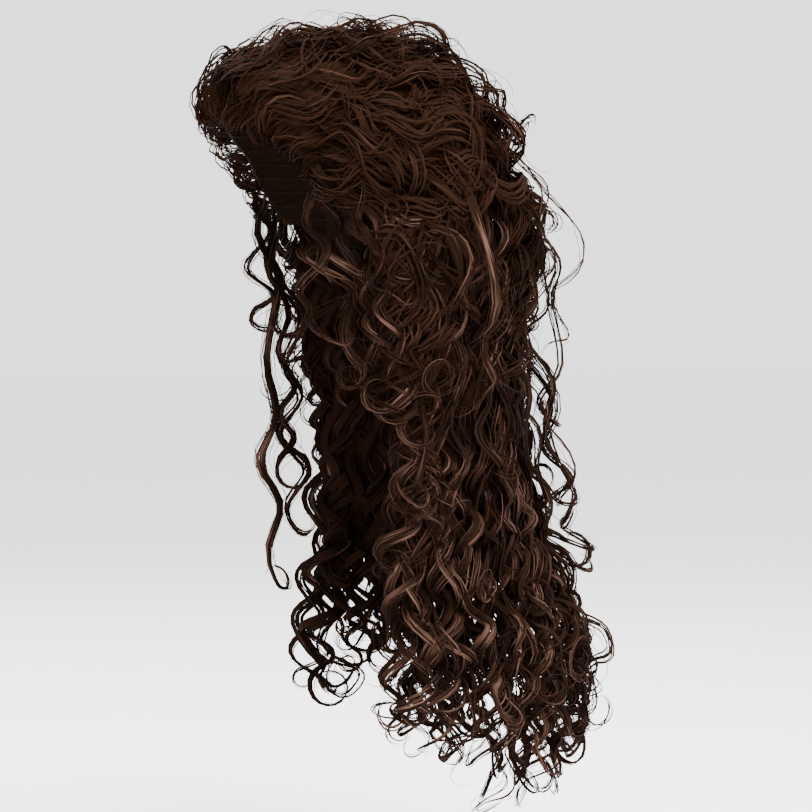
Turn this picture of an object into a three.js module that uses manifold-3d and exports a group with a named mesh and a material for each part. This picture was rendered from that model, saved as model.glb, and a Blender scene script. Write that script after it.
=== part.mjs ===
// A long curly wig, in millimetres, +Z up. The wearer faces -Y, and the wearer's left side is +X.
// The origin is the inside of the cap at its crown, where the top of a head meets it.
// A hollow cap carries the hair: a swept-back crown, two sides, a long back and the temple locks.
// Each hair piece is a backing with wavy locks fused to it. The head's place stays open.

import * as THREE from "three";
import { mergeVertices } from "three/addons/utils/BufferGeometryUtils.js";
import Module from "manifold-3d";

const wasm = await Module();
wasm.setup();

// Driving dimensions
const HEAD = { halfWidth: 76, halfLength: 98, halfHeight: 115, squareness: 2.4 };
const CAP_WALL = 1.6;
const SEAM_GAP = 0.4; // between the cap and the hair, and between two hair pieces
const FALL_CENTRE = 25; // y of the axis that the falling hair curves round
const MERGE_DISTANCE = 1e-3;

// The cap's edge, by bearing from the front: hairline, ear tab, ear notch and nape
const CAP_EDGE = [
  { bearing: 0, drop: 38 },
  { bearing: 30, drop: 40 },
  { bearing: 52, drop: 58 },
  { bearing: 70, drop: 94 },
  { bearing: 82, drop: 114 },
  { bearing: 96, drop: 106 },
  { bearing: 115, drop: 130 },
  { bearing: 140, drop: 158 },
  { bearing: 180, drop: 170 },
];

// Height of the crown hair above the head, by how far back it lies: -1 is the face and 1 the back
const CROWN_SWELL = [
  { back: -1, height: 40 },
  { back: -0.7, height: 44 },
  { back: -0.35, height: 41 },
  { back: 0, height: 43 },
  { back: 0.5, height: 49 },
  { back: 0.8, height: 59 },
  { back: 1, height: 66 },
];

// Level sections of the falling hair: its outside, its inside and the angle from the back to its front edge
const FALL = [
  { drop: 40, width: 108, back: 152, innerWidth: 70, innerBack: 90, front: 118 },
  { drop: 80, width: 113, back: 166, innerWidth: 71, innerBack: 91, front: 112 },
  { drop: 120, width: 115, back: 173, innerWidth: 72, innerBack: 92, front: 105 },
  { drop: 170, width: 111, back: 161, innerWidth: 71, innerBack: 93, front: 99 },
  { drop: 240, width: 105, back: 156, innerWidth: 68, innerBack: 98, front: 95 },
  { drop: 310, width: 107, back: 168, innerWidth: 70, innerBack: 102, front: 96 },
  { drop: 370, width: 112, back: 182, innerWidth: 72, innerBack: 108, front: 98 },
  { drop: 430, width: 124, back: 214, innerWidth: 76, innerBack: 120, front: 100 },
  { drop: 490, width: 125, back: 214, innerWidth: 78, innerBack: 124, front: 100 },
  { drop: 580, width: 104, back: 190, innerWidth: 72, innerBack: 118, front: 97 },
];

// The plane that parts the crown from the falling hair: its drop on the head's axis and its slope to the back
const PARTING = { drop: 73, slope: -0.245 };
// The bare forehead under the hairline
const FOREHEAD = { y: -84, drop: 78, halfWidth: 54, halfLength: 48, halfHeight: 40 };

const CROWN = {
  backingShare: 0.52, // of the hair's height
  lockShare: 0.6,
  radiusShare: 0.4,
  rolls: [-65, -49, -32.5, -16, 0, 16, 32.5, 49, 65], // tilt of each lock from the middle of the head
  sweeps: [66, 88, 110, 134], // angles over the head from the face to the back
  fallTurn: 1.36, // how a lock spreads to the side as it falls
  fallDrop: 128,
  fallDepth: 0.7,
  waveLength: 84,
  waveHeight: 4,
  steps: 11,
  sides: 6,
  startShare: 0.45, // a lock's thickness at the hairline
};
// Where a crown lock starts at the hairline, by its tilt
const HAIRLINE = [
  { roll: 0, sweep: 49 },
  { roll: 26, sweep: 51 },
  { roll: 45, sweep: 60 },
  { roll: 70, sweep: 72 },
];

// The body of a fall: a ridge for each lock, as deep shares from its inside to its outside, and a ragged hem
const FALL_BODY = { top: 45, hem: 500, ragged: 40, valley: 0.62, ridge: 0.95, facets: 3, rows: 24 };
// The wave that runs down the hair, shorter and higher to the hem
const FALL_WAVE = {
  length: 535,
  count: 5.4,
  crowding: 1.35,
  topHeight: 2,
  hemHeight: 13,
  outShare: 0.5,
  lag: 0.13, // phase from one lock to the next
};
// The loose end of each lock, from inside the body
const FALL_TAIL = { start: 425, depth: 0.72, radius: 10, steps: 8, sides: 4, curl: 6 };

const SIDE = { from: 50, tips: [550, 522, 538, 516] };
const BACK = { tips: [540, 518, 560, 532, 548, 574, 556] };
const TRIM_OVERLAP = 6; // degrees that a fall runs past the plane that trims it

// The temple's sewn root, a bar along the cap's edge
const TEMPLE_ROOT = {
  fromBearing: 57,
  toBearing: 72,
  fromDrop: 73,
  toDrop: 100,
  radius: 6.5,
  lift: 3.5, // of the bar's middle above the head
  steps: 4,
  sides: 5,
};
// Hanging temple locks: axis at side and y, fall from the root to the tip, and the curl about that axis
const LEFT_TEMPLE_LOCKS = [
  { side: 87, y: -40, root: 76, tip: 236, curl: 15, turns: 2.6, phase: 0.55, radius: 5 },
  { side: 85, y: -30, root: 88, tip: 252, curl: 11, turns: 2.4, phase: 0.1, radius: 5 },
  { side: 80, y: -36, root: 82, tip: 190, curl: 9, turns: 1.6, phase: 0.8, radius: 4.5 },
];
const RIGHT_TEMPLE_LOCKS = [
  { side: 87, y: -40, root: 76, tip: 230, curl: 14, turns: 2.4, phase: 0.3, radius: 5 },
  { side: 79, y: -32, root: 80, tip: 416, curl: 11, turns: 4.4, phase: 0.2, radius: 6 },
  { side: 84, y: -18, root: 94, tip: 384, curl: 9, turns: 4.1, phase: 0.7, radius: 6 },
];
const TEMPLE_STEPS_PER_TURN = 8;
const TEMPLE_SIDES = 4;

const HAIR = { color: 0x2d1b12, roughness: 0.45, metalness: 0 };
const NET = { color: 0x1c1512, roughness: 0.85, metalness: 0 };

const radians = THREE.MathUtils.degToRad;
const lerp = THREE.MathUtils.lerp;

/** A table's row at a value between its rows, with every column interpolated. */
function rowAt(table, key, value) {
  const next = table.findIndex((row) => row[key] > value);
  if (next === 0) return table[0];
  if (next < 0) return table.at(-1);
  const [low, high] = [table[next - 1], table[next]];
  const share = (value - low[key]) / (high[key] - low[key]);
  return Object.fromEntries(Object.keys(low).map((name) => [name, lerp(low[name], high[name], share)]));
}

// Triangles and solids

/** Two triangles for each cell of a grid of points, whose last column joins its first. */
function sheet(grid) {
  const triangles = [];
  const columns = grid[0].length;
  for (let r = 0; r + 1 < grid.length; r++) {
    for (let c = 0; c < columns; c++) {
      const next = (c + 1) % columns;
      const [a, b, d, e] = [grid[r][c], grid[r][next], grid[r + 1][next], grid[r + 1][c]];
      triangles.push([a, b, d], [a, d, e]);
    }
  }
  return triangles;
}

/** A fan from one middle point to a closed ring. */
function fan(middle, ring) {
  return ring.map((point, i) => [middle, ring[(i + 1) % ring.length], point]);
}

function reversed(triangles) {
  return triangles.map(([a, b, c]) => [a, c, b]);
}

function volumeOf(triangles) {
  const cross = new THREE.Vector3();
  return triangles.reduce((sum, [a, b, c]) => sum + a.dot(cross.crossVectors(b, c)) / 6, 0);
}

/** A solid from a closed geometry, its shared corners merged and its empty triangles dropped. */
function solidOf(geometry) {
  const bare = geometry.clone();
  for (const name of ["normal", "uv"]) bare.deleteAttribute(name);
  const merged = mergeVertices(bare, MERGE_DISTANCE);
  const corners = merged.index.array;
  const kept = [];
  for (let i = 0; i < corners.length; i += 3) {
    const [a, b, c] = corners.slice(i, i + 3);
    if (a !== b && b !== c && c !== a) kept.push(a, b, c);
  }
  const vertProperties = new Float32Array(merged.attributes.position.array);
  return new wasm.Manifold(new wasm.Mesh({ numProp: 3, vertProperties, triVerts: new Uint32Array(kept) }));
}

/** A solid from triangles that close, turned to face outwards. */
function solidOfTriangles(triangles) {
  const outwards = volumeOf(triangles) < 0 ? reversed(triangles) : triangles;
  const corners = outwards.flat().flatMap((point) => point.toArray());
  const geometry = new THREE.BufferGeometry();
  geometry.setAttribute("position", new THREE.Float32BufferAttribute(corners, 3));
  return solidOf(geometry);
}

/** A lock of hair: round sections along a path, each with its own radius, closed at both ends. */
function lockAlong(path, radii, sides) {
  const normal = new THREE.Vector3(1, 0, 0);
  const rings = path.map((point, i) => {
    const before = path[Math.max(i - 1, 0)];
    const after = path[Math.min(i + 1, path.length - 1)];
    const along = after.clone().sub(before).normalize();
    if (i === 0 && Math.abs(along.x) > 0.9) normal.set(0, 1, 0);
    normal.addScaledVector(along, -normal.dot(along)).normalize();
    const across = new THREE.Vector3().crossVectors(along, normal);
    return Array.from({ length: sides }, (_, k) => {
      const turn = (2 * Math.PI * k) / sides;
      return point
        .clone()
        .addScaledVector(normal, radii[i] * Math.cos(turn))
        .addScaledVector(across, radii[i] * Math.sin(turn));
    });
  });
  const start = fan(path[0], rings[0]);
  const tip = reversed(fan(path.at(-1), rings.at(-1)));
  return solidOfTriangles([...reversed(start), ...reversed(sheet(rings)), ...reversed(tip)]);
}

function fused(solids) {
  return solids.reduce((whole, next) => whole.add(next));
}

/** The main body alone, without slivers and without voids closed in between locks. */
function mainBody(solid) {
  return solid.decompose().reduce((main, part) => (part.volume() > main.volume() ? part : main));
}

/** Full thickness along a lock, with a rounded start and a thin tip. */
function lockRadii(radius, steps, startShare, tipShare) {
  return Array.from({ length: steps + 1 }, (_, i) => {
    const t = i / steps;
    const start = lerp(startShare, 1, Math.min(1, t * 6));
    const tip = lerp(tipShare, 1, Math.min(1, (1 - t) * 4));
    return radius * Math.min(start, tip);
  });
}

// The head that the wig fits

/** A point of the head's surface, grown by an offset, at a bearing from the front and a drop from the crown. */
function headAt(bearing, drop, offset) {
  const n = HEAD.squareness;
  const up = (HEAD.halfHeight - drop) / (HEAD.halfHeight + offset);
  const level = Math.max(0, 1 - Math.abs(up) ** n) ** (1 / n);
  const [s, c] = [Math.sin(radians(bearing)), Math.cos(radians(bearing))];
  const across = Math.abs(s / (HEAD.halfWidth + offset)) ** n;
  const along = Math.abs(c / (HEAD.halfLength + offset)) ** n;
  const reach = level * (across + along) ** (-1 / n);
  return new THREE.Vector3(reach * s, -reach * c, -drop);
}

/** Distance from the head's middle to its surface, grown by an offset, along a unit direction. */
function headReach(direction, offset = 0) {
  const n = HEAD.squareness;
  const sum =
    Math.abs(direction.x / (HEAD.halfWidth + offset)) ** n +
    Math.abs(direction.y / (HEAD.halfLength + offset)) ** n +
    Math.abs(direction.z / (HEAD.halfHeight + offset)) ** n;
  return sum ** (-1 / n);
}

/** A closed body round the head's middle, with its reach given for each direction. */
function bodyRoundHead(reach, columns, rows) {
  const ball = new THREE.SphereGeometry(1, columns, rows).rotateX(Math.PI / 2);
  const places = ball.attributes.position;
  const point = new THREE.Vector3();
  for (let i = 0; i < places.count; i++) {
    point.fromBufferAttribute(places, i).normalize();
    point.multiplyScalar(reach(point));
    places.setXYZ(i, point.x, point.y, point.z - HEAD.halfHeight);
  }
  return solidOf(ball);
}

// The cap

const CAP_COLUMNS = 28;
const CAP_ROWS = 7;
const CHIN_ROWS = 6;

/** One level ring of the head, grown by an offset, with its drop given by the cap's edge at each bearing. */
function headRing(offset, dropFor) {
  return Array.from({ length: CAP_COLUMNS }, (_, c) => {
    const bearing = (360 * c) / CAP_COLUMNS;
    const edge = rowAt(CAP_EDGE, "bearing", Math.min(bearing, 360 - bearing)).drop;
    return headAt(bearing, dropFor(edge), offset);
  });
}

/** Rings from the crown down to the cap's edge. */
function capRings(offset) {
  return Array.from({ length: CAP_ROWS + 1 }, (_, r) => {
    const share = 1 - Math.cos((Math.PI / 2) * (r / CAP_ROWS));
    return headRing(offset, (edge) => lerp(-offset, edge, share));
  });
}

function buildCap() {
  const [outer, inner] = [capRings(CAP_WALL), capRings(0)];
  const skins = [...sheet(outer), ...reversed(sheet(inner))];
  return solidOfTriangles([...skins, ...sheet([outer.at(-1), inner.at(-1)])]);
}

/** The room that the hair leaves for the cap and the whole head, faceted like the cap. */
function buildHeadRoom() {
  const offset = CAP_WALL + SEAM_GAP;
  const chin = Array.from({ length: CHIN_ROWS }, (_, r) => {
    const share = Math.sin((Math.PI / 2) * ((r + 1) / CHIN_ROWS));
    return headRing(offset, (edge) => lerp(edge, 2 * HEAD.halfHeight + offset, share));
  });
  return solidOfTriangles(sheet([...capRings(offset), ...chin]));
}

const headRoom = buildHeadRoom();

// The crown

function crownHeight(direction) {
  return rowAt(CROWN_SWELL, "back", direction.y).height;
}

/** A point over the head, at a tilt from the middle and a sweep from the face to the back. */
function crownPoint(roll, sweep, share) {
  const [r, s] = [radians(roll), radians(sweep)];
  const direction = new THREE.Vector3(
    Math.sin(s) * Math.sin(r),
    -Math.cos(s),
    Math.sin(s) * Math.cos(r),
  );
  const reach = headReach(direction) + share * crownHeight(direction);
  return direction.multiplyScalar(reach).add(new THREE.Vector3(0, 0, -HEAD.halfHeight));
}

function crownLock(roll, index) {
  const start = rowAt(HAIRLINE, "roll", Math.abs(roll)).sweep;
  const middle = CROWN.sweeps.filter((sweep) => sweep > start + 8);
  const guide = new THREE.CatmullRomCurve3([
    ...[start, ...middle].map((sweep) => crownPoint(roll, sweep, CROWN.lockShare)),
    fallPoint(roll * CROWN.fallTurn, CROWN.fallDepth, CROWN.fallDrop),
  ]);
  const points = guide.getSpacedPoints(CROWN.steps);
  const length = guide.getLength();
  const sideways = new THREE.Vector3(Math.cos(radians(roll)), 0, -Math.sin(radians(roll)));
  points.forEach((point, i) => {
    const turn = 2 * Math.PI * ((length * i) / CROWN.steps / CROWN.waveLength + 0.37 * index);
    point.addScaledVector(sideways, CROWN.waveHeight * Math.sin(turn));
  });
  const radius = CROWN.radiusShare * crownHeight(new THREE.Vector3());
  return lockAlong(points, lockRadii(radius, CROWN.steps, CROWN.startShare, 0.9), CROWN.sides);
}

/** Keeps what lies above (sign 1) or below (sign -1) the parting plane, half a gap away from it. */
function trimAtParting(solid, sign) {
  const normal = new THREE.Vector3(0, -PARTING.slope, 1).normalize().multiplyScalar(sign);
  const onPlane = new THREE.Vector3(0, 0, -PARTING.drop);
  return solid.trimByPlane(normal.toArray(), normal.dot(onPlane) + SEAM_GAP / 2);
}

function buildCrown() {
  const reach = (direction) => headReach(direction) + CROWN.backingShare * crownHeight(direction);
  const backing = bodyRoundHead(reach, 24, 14);
  const whole = fused([backing, ...CROWN.rolls.map(crownLock)]);
  const forehead = new THREE.SphereGeometry(1, 24, 14)
    .scale(FOREHEAD.halfWidth, FOREHEAD.halfLength, FOREHEAD.halfHeight)
    .translate(0, FOREHEAD.y, -FOREHEAD.drop);
  return mainBody(trimAtParting(whole, 1).subtract(headRoom).subtract(solidOf(forehead)));
}

// The falling hair

/** A point of the falling hair: angle round from the back, depth from its inside to its outside, and drop. */
function fallPoint(angle, depth, drop) {
  const row = rowAt(FALL, "drop", drop);
  const width = lerp(row.innerWidth, row.width, depth);
  const back = lerp(row.innerBack, row.back, depth) - FALL_CENTRE;
  const turn = radians(angle);
  return new THREE.Vector3(width * Math.sin(turn), FALL_CENTRE + back * Math.cos(turn), -drop);
}

/** A fall's point moved by the wave, whose phase lags from one lock to the next. */
function wavyFallPoint(angle, depth, drop, lock) {
  const share = (drop - FALL_BODY.top) / FALL_WAVE.length;
  const wave = 2 * Math.PI * (FALL_WAVE.count * share ** FALL_WAVE.crowding + FALL_WAVE.lag * lock);
  const height = lerp(FALL_WAVE.topHeight, FALL_WAVE.hemHeight, share * share);
  const turn = radians(angle);
  const sideways = new THREE.Vector3(Math.cos(turn), -Math.sin(turn), 0);
  const outwards = new THREE.Vector3(Math.sin(turn), Math.cos(turn), 0);
  return fallPoint(angle, depth, drop)
    .addScaledVector(sideways, height * Math.sin(wave))
    .addScaledVector(outwards, FALL_WAVE.outShare * height * Math.cos(wave));
}

/** One section of a fall's body: ridges along the outside, then the plain inside back to the start. */
function fallSection(share, count, angleAt) {
  const { top, hem, ragged, valley, ridge, facets } = FALL_BODY;
  const columns = count * facets;
  const inside = lerp(top, hem - ragged, share);
  const ring = [];
  for (let c = 0; c <= columns; c++) {
    const onRidge = c % facets > 0;
    const drop = onRidge ? lerp(top, hem, share) : inside;
    const depth = onRidge ? ridge : valley;
    ring.push(wavyFallPoint(angleAt(c / columns, drop), depth, drop, c / facets));
  }
  for (let c = count; c >= 0; c--) ring.push(fallPoint(angleAt(c / count, inside), 0, inside));
  return ring;
}

/** A lid over a closed section, laid out as seen from above and wound with the section's points. */
function lid(ring) {
  const contour = ring.map((point) => new THREE.Vector2(point.x, point.y));
  const winding = Math.sign(THREE.ShapeUtils.area(contour));
  return THREE.ShapeUtils.triangulateShape(contour, []).map((corners) => {
    const turned = winding * THREE.ShapeUtils.area(corners.map((i) => contour[i]));
    const points = corners.map((i) => ring[i]);
    return turned > 0 ? points : points.reverse();
  });
}

/** A loose lock end that leaves the body and curls to its tip. */
function fallTail(angle, tip, lock) {
  const { start, depth, radius, steps, sides, curl } = FALL_TAIL;
  const points = Array.from({ length: steps + 1 }, (_, i) => {
    const point = wavyFallPoint(angle, depth, lerp(start, tip, i / steps), lock);
    point.z += curl * Math.sin((Math.PI * i) / 2) * (i / steps);
    return point;
  });
  return lockAlong(points, lockRadii(radius, steps, 1, 0.3), sides);
}

/** A fall between two angles, with a ridge and a loose end for each of its locks. */
function buildFall(tips, angleAt) {
  const rings = Array.from({ length: FALL_BODY.rows + 1 }, (_, r) =>
    fallSection(r / FALL_BODY.rows, tips.length, angleAt),
  );
  const lids = [...reversed(lid(rings[0])), ...lid(rings.at(-1))];
  const body = solidOfTriangles([...sheet(rings), ...lids]);
  const tails = tips.map((tip, lock) => {
    const place = lock + 0.5;
    return fallTail(angleAt(place / tips.length, tip), tip, place);
  });
  return fused([body, ...tails]);
}

/** Keeps the hair on one side of the upright plane between a side and the back. */
function trimAtSide(solid, hand, sign) {
  const edge = radians(SIDE.from);
  const normal = new THREE.Vector3(hand * Math.cos(edge), -Math.sin(edge), 0).multiplyScalar(sign);
  const axis = new THREE.Vector3(0, FALL_CENTRE, 0);
  return solid.trimByPlane(normal.toArray(), normal.dot(axis) + SEAM_GAP / 2);
}

function buildSide(hand) {
  const angleAt = (share, drop) => {
    const front = rowAt(FALL, "drop", drop).front;
    return hand * lerp(SIDE.from - TRIM_OVERLAP, front, share);
  };
  const whole = trimAtParting(buildFall(SIDE.tips, angleAt), -1);
  return mainBody(trimAtSide(whole, hand, 1).subtract(headRoom));
}

function buildBack() {
  const edge = SIDE.from + TRIM_OVERLAP;
  const whole = trimAtParting(buildFall(BACK.tips, (share) => lerp(-edge, edge, share)), -1);
  return mainBody(trimAtSide(trimAtSide(whole, 1, -1), -1, -1).subtract(headRoom));
}

// The temple locks

function templeRoot(hand) {
  const points = Array.from({ length: TEMPLE_ROOT.steps + 1 }, (_, i) => {
    const t = i / TEMPLE_ROOT.steps;
    const bearing = lerp(TEMPLE_ROOT.fromBearing, TEMPLE_ROOT.toBearing, t);
    const drop = lerp(TEMPLE_ROOT.fromDrop, TEMPLE_ROOT.toDrop, t);
    return headAt(hand * bearing, drop, TEMPLE_ROOT.lift);
  });
  return lockAlong(points, lockRadii(TEMPLE_ROOT.radius, TEMPLE_ROOT.steps, 0.8, 0.8), TEMPLE_ROOT.sides);
}

/** A ringlet that leaves the temple's root and winds down about an upright axis. */
function templeLock(hand, { side, y, root, tip, curl, turns, phase, radius }) {
  const share = (root - TEMPLE_ROOT.fromDrop) / (TEMPLE_ROOT.toDrop - TEMPLE_ROOT.fromDrop);
  const bearing = lerp(TEMPLE_ROOT.fromBearing, TEMPLE_ROOT.toBearing, share);
  const start = headAt(hand * bearing, root, TEMPLE_ROOT.lift);
  const steps = Math.round(turns * TEMPLE_STEPS_PER_TURN);
  const points = Array.from({ length: steps + 1 }, (_, i) => {
    const t = i / steps;
    const turn = 2 * Math.PI * (turns * t + phase);
    const settle = THREE.MathUtils.smoothstep(t, 0, 0.3);
    const axis = start.clone().lerp(new THREE.Vector3(hand * side, y, -root), settle);
    axis.x += hand * settle * curl * 0.6 * Math.cos(turn);
    axis.y += settle * curl * Math.sin(turn);
    axis.z = lerp(-root, -tip, t);
    return axis;
  });
  return lockAlong(points, lockRadii(radius, steps, 1, 0.35), TEMPLE_SIDES);
}

function buildTemple(hand, rows) {
  const locks = rows.map((row) => templeLock(hand, row));
  return mainBody(trimAtParting(fused([templeRoot(hand), ...locks]), -1).subtract(headRoom));
}

// The wig

function geometryOf(solid) {
  const { vertProperties, triVerts } = solid.getMesh();
  const geometry = new THREE.BufferGeometry();
  geometry.setAttribute("position", new THREE.Float32BufferAttribute(vertProperties, 3));
  geometry.setIndex(new THREE.Uint32BufferAttribute(triVerts, 1));
  geometry.computeVertexNormals();
  return geometry;
}

function piece(name, solid, finish) {
  const mesh = new THREE.Mesh(geometryOf(solid), new THREE.MeshStandardMaterial(finish));
  mesh.name = name;
  return mesh;
}

const LEFT = 1;
const RIGHT = -1;
const wig = new THREE.Group();
wig.add(
  piece("cap", buildCap(), NET),
  piece("crown_hair", buildCrown(), HAIR),
  piece("side_hair_left", buildSide(LEFT), HAIR),
  piece("side_hair_right", buildSide(RIGHT), HAIR),
  piece("back_hair", buildBack(), HAIR),
  piece("temple_locks_left", buildTemple(LEFT, LEFT_TEMPLE_LOCKS), HAIR),
  piece("temple_locks_right", buildTemple(RIGHT, RIGHT_TEMPLE_LOCKS), HAIR),
);

export default wig;
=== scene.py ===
"""A long curly wig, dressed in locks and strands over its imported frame.

The hair is grown from guide paths. A guide runs from the cap back over the crown, or down the
sides and the back, with its own wave and a curl at its tip. Geometry Nodes turn the guides of
a piece into flat locks, slim tresses and fine strands. Lengths are in metres, angles in degrees.
"""

import logging
import math
from dataclasses import dataclass, field, replace
from enum import Enum
from typing import Any

import bpy
import numpy as np
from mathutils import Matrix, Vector

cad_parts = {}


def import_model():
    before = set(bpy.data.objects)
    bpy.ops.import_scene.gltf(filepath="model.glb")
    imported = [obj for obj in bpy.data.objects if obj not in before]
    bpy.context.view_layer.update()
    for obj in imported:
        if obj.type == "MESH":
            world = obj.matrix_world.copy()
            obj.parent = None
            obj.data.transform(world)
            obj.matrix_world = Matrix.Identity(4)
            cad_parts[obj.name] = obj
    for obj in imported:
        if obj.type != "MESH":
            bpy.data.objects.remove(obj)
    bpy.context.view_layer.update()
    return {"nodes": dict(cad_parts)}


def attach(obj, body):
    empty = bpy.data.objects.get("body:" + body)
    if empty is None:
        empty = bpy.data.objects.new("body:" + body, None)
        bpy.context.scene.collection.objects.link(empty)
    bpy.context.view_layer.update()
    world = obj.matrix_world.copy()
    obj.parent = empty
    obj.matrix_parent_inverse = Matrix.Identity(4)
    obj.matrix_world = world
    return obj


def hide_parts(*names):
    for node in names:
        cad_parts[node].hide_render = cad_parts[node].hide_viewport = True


LOG = logging.getLogger("wig")
BODY = "root"
TURN = 2 * math.pi
STRETCH_POINTS = 24
FEWEST_POINTS = 8
SEED_STEP = 100
Array = np.ndarray
Values = float | np.ndarray
Point = tuple[float, float, float]
Colour = tuple[float, float, float]
Range = tuple[float, float]
Row = tuple[float, ...]


class Hand(Enum):
    """The wearer's sides, as signs along X."""

    LEFT = 1
    RIGHT = -1


class Layer(Enum):
    """Layers of hair, by the brightness painted on their fibres: darker under the locks as painted shade,
    lighter in single strands as painted light shining through them.
    """

    # UNDER is painted shade, and STRAND painted light through thin strands.
    UNDER = 0.9
    LOCK = 1.0
    STRAND = 1.3


class Draw(Enum):
    """A strand's own random numbers, by their place after its piece's seed."""

    TURN = 1
    TWIST = 2
    RADIUS = 3
    SWAY = 4
    FRIZZ_PLACE = 5
    FRIZZ = 6
    TONE = 7
    SHORTEN = 8
    TILT = 9
    TILT_GAIN = 10
    GIRTH = 11
    UNEVEN = 12
    STRAY_PLACE = 13


def smoothstep(low: float, high: float, value: Array) -> Array:
    """Smooth rise from 0 to 1 between two values."""
    share = np.clip((value - low) / (high - low), 0.0, 1.0)
    return share * share * (3.0 - 2.0 * share)


def risen(start: float, by: float, share: Array) -> Array:
    """Smooth rise from a start to 1, which it reaches at a share."""
    return start + (1.0 - start) * smoothstep(0.0, by, share)


def unit(vectors: Array) -> Array:
    """Rows scaled to length 1."""
    return vectors / np.maximum(np.linalg.norm(vectors, axis=-1, keepdims=True), 1e-9)


def running(steps: Array) -> Array:
    """Running total of steps, from 0."""
    return np.concatenate(([0.0], np.cumsum(steps)))


def distances(points: Array) -> Array:
    """Path length from the first point to each point."""
    return running(np.linalg.norm(np.diff(points, axis=0), axis=1))


def resampled(rows: Array, at: Array, places: Array) -> Array:
    """Rows of vectors read between the places that they belong to."""
    return np.stack([np.interp(places, at, rows[:, k]) for k in range(rows.shape[1])], axis=1)


def smooth_path(knots: Array, step: float) -> Array:
    """A smooth curve through a few points.

    Args:
        knots: the points, one a row.
        step: about how far apart the result's points are.

    Returns:
        Evenly spread points along a Catmull-Rom curve.
    """
    ends = np.vstack((2 * knots[0] - knots[1], knots, 2 * knots[-1] - knots[-2]))
    t = np.linspace(0.0, 1.0, STRETCH_POINTS, endpoint=False)[:, None]
    pieces = []
    for a, b, c, d in zip(ends[:-3], ends[1:-2], ends[2:-1], ends[3:]):
        cubic = -a + 3 * b - 3 * c + d
        square = 2 * a - 5 * b + 4 * c - d
        pieces.append(0.5 * (2 * b + (c - a) * t + square * t**2 + cubic * t**3))
    dense = np.vstack((*pieces, knots[-1:]))
    along = distances(dense)
    count = max(FEWEST_POINTS, int(along[-1] / step))
    return resampled(dense, along, np.linspace(0.0, along[-1], count))


def shown(name: str, data: Any) -> bpy.types.Object:
    """A new object in the scene, at the origin.

    Args:
        name: the object's name.
        data: its mesh, lamp or camera.

    Returns:
        The object.
    """
    item = bpy.data.objects.new(name, data)
    bpy.context.scene.collection.objects.link(item)
    return item


@dataclass(frozen=True)
class HeadForm:
    """The rounded head that the cap fits, with its crown at the origin."""

    half_width: float = 0.076
    half_length: float = 0.098
    half_height: float = 0.115
    squareness: float = 2.4
    axis_back: float = 0.012

    @property
    def middle(self) -> Array:
        """The head's middle."""
        return np.array((0.0, 0.0, -self.half_height))

    def reach(self, direction: Array) -> Array:
        """Distance from the middle to the surface.

        Args:
            direction: unit vectors, one a row.

        Returns:
            One distance a row.
        """
        sizes = np.array((self.half_width, self.half_length, self.half_height))
        powers = np.abs(direction / sizes) ** self.squareness
        return powers.sum(axis=-1) ** (-1.0 / self.squareness)

    def outward(self, points: Array) -> Array:
        """Directions away from the head above its middle, and level ones below it.

        Args:
            points: points, one a row.

        Returns:
            Unit vectors, one a row.
        """
        axis = np.zeros_like(points)
        axis[:, 1] = self.axis_back
        axis[:, 2] = np.minimum(points[:, 2], -self.half_height)
        return unit(points - axis)

    def cleared(self, points: Array, gap: Values) -> Array:
        """Points moved out of the head.

        Args:
            points: points, one a row.
            gap: their least distance from it.

        Returns:
            The points, with those that were too close moved out.
        """
        arm = points - self.middle
        far = np.linalg.norm(arm, axis=-1)
        least = self.reach(arm / far[..., None]) + gap
        return self.middle + arm * np.maximum(1.0, least / far)[..., None]


@dataclass(frozen=True)
class CrownForm:
    """The crown hair's outside: its height over the head, by how far back it lies."""

    head: HeadForm = HeadForm()
    backs: Row = (-1.0, -0.7, -0.35, 0.0, 0.5, 0.8, 1.0)
    heights: Row = (0.040, 0.044, 0.041, 0.043, 0.049, 0.059, 0.066)
    hairline_rolls: Row = (0.0, 26.0, 45.0, 70.0, 88.0)
    hairline_sweeps: Row = (45.0, 47.0, 57.0, 70.0, 78.0)

    def hairline(self, roll: float) -> float:
        """The sweep at which the hair starts, for a tilt from the middle."""
        return float(np.interp(abs(roll), self.hairline_rolls, self.hairline_sweeps))

    def point(self, roll: Values, sweep: Values, share: Values) -> Array:
        """Points over the head.

        Args:
            roll: tilt from the middle of the head.
            sweep: angle over the head, from the face to the back.
            share: part of the hair's height, from the head up.

        Returns:
            Points, one a row.
        """
        roll, sweep, share = np.broadcast_arrays(np.radians(roll), np.radians(sweep), share)
        across = np.sin(sweep) * np.sin(roll)
        direction = np.stack((across, -np.cos(sweep), np.sin(sweep) * np.cos(roll)), axis=-1)
        height = np.interp(direction[..., 1], self.backs, self.heights)
        reach = self.head.reach(direction) + share * height
        return self.head.middle + direction * reach[..., None]


@dataclass(frozen=True)
class FallSection:
    """A level section of the falling hair."""

    drop: float
    width: float
    back: float
    inner_width: float
    inner_back: float
    front: float


FALL_SECTIONS = (
    FallSection(0.040, 0.108, 0.152, 0.070, 0.090, 118.0),
    FallSection(0.080, 0.113, 0.166, 0.071, 0.091, 112.0),
    FallSection(0.120, 0.115, 0.173, 0.072, 0.092, 105.0),
    FallSection(0.170, 0.111, 0.161, 0.071, 0.093, 99.0),
    FallSection(0.240, 0.105, 0.156, 0.068, 0.098, 95.0),
    FallSection(0.310, 0.107, 0.168, 0.070, 0.102, 96.0),
    FallSection(0.370, 0.112, 0.182, 0.072, 0.108, 98.0),
    FallSection(0.430, 0.124, 0.214, 0.076, 0.120, 100.0),
    FallSection(0.490, 0.125, 0.214, 0.078, 0.124, 100.0),
    FallSection(0.580, 0.104, 0.190, 0.072, 0.118, 97.0),
)


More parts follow.
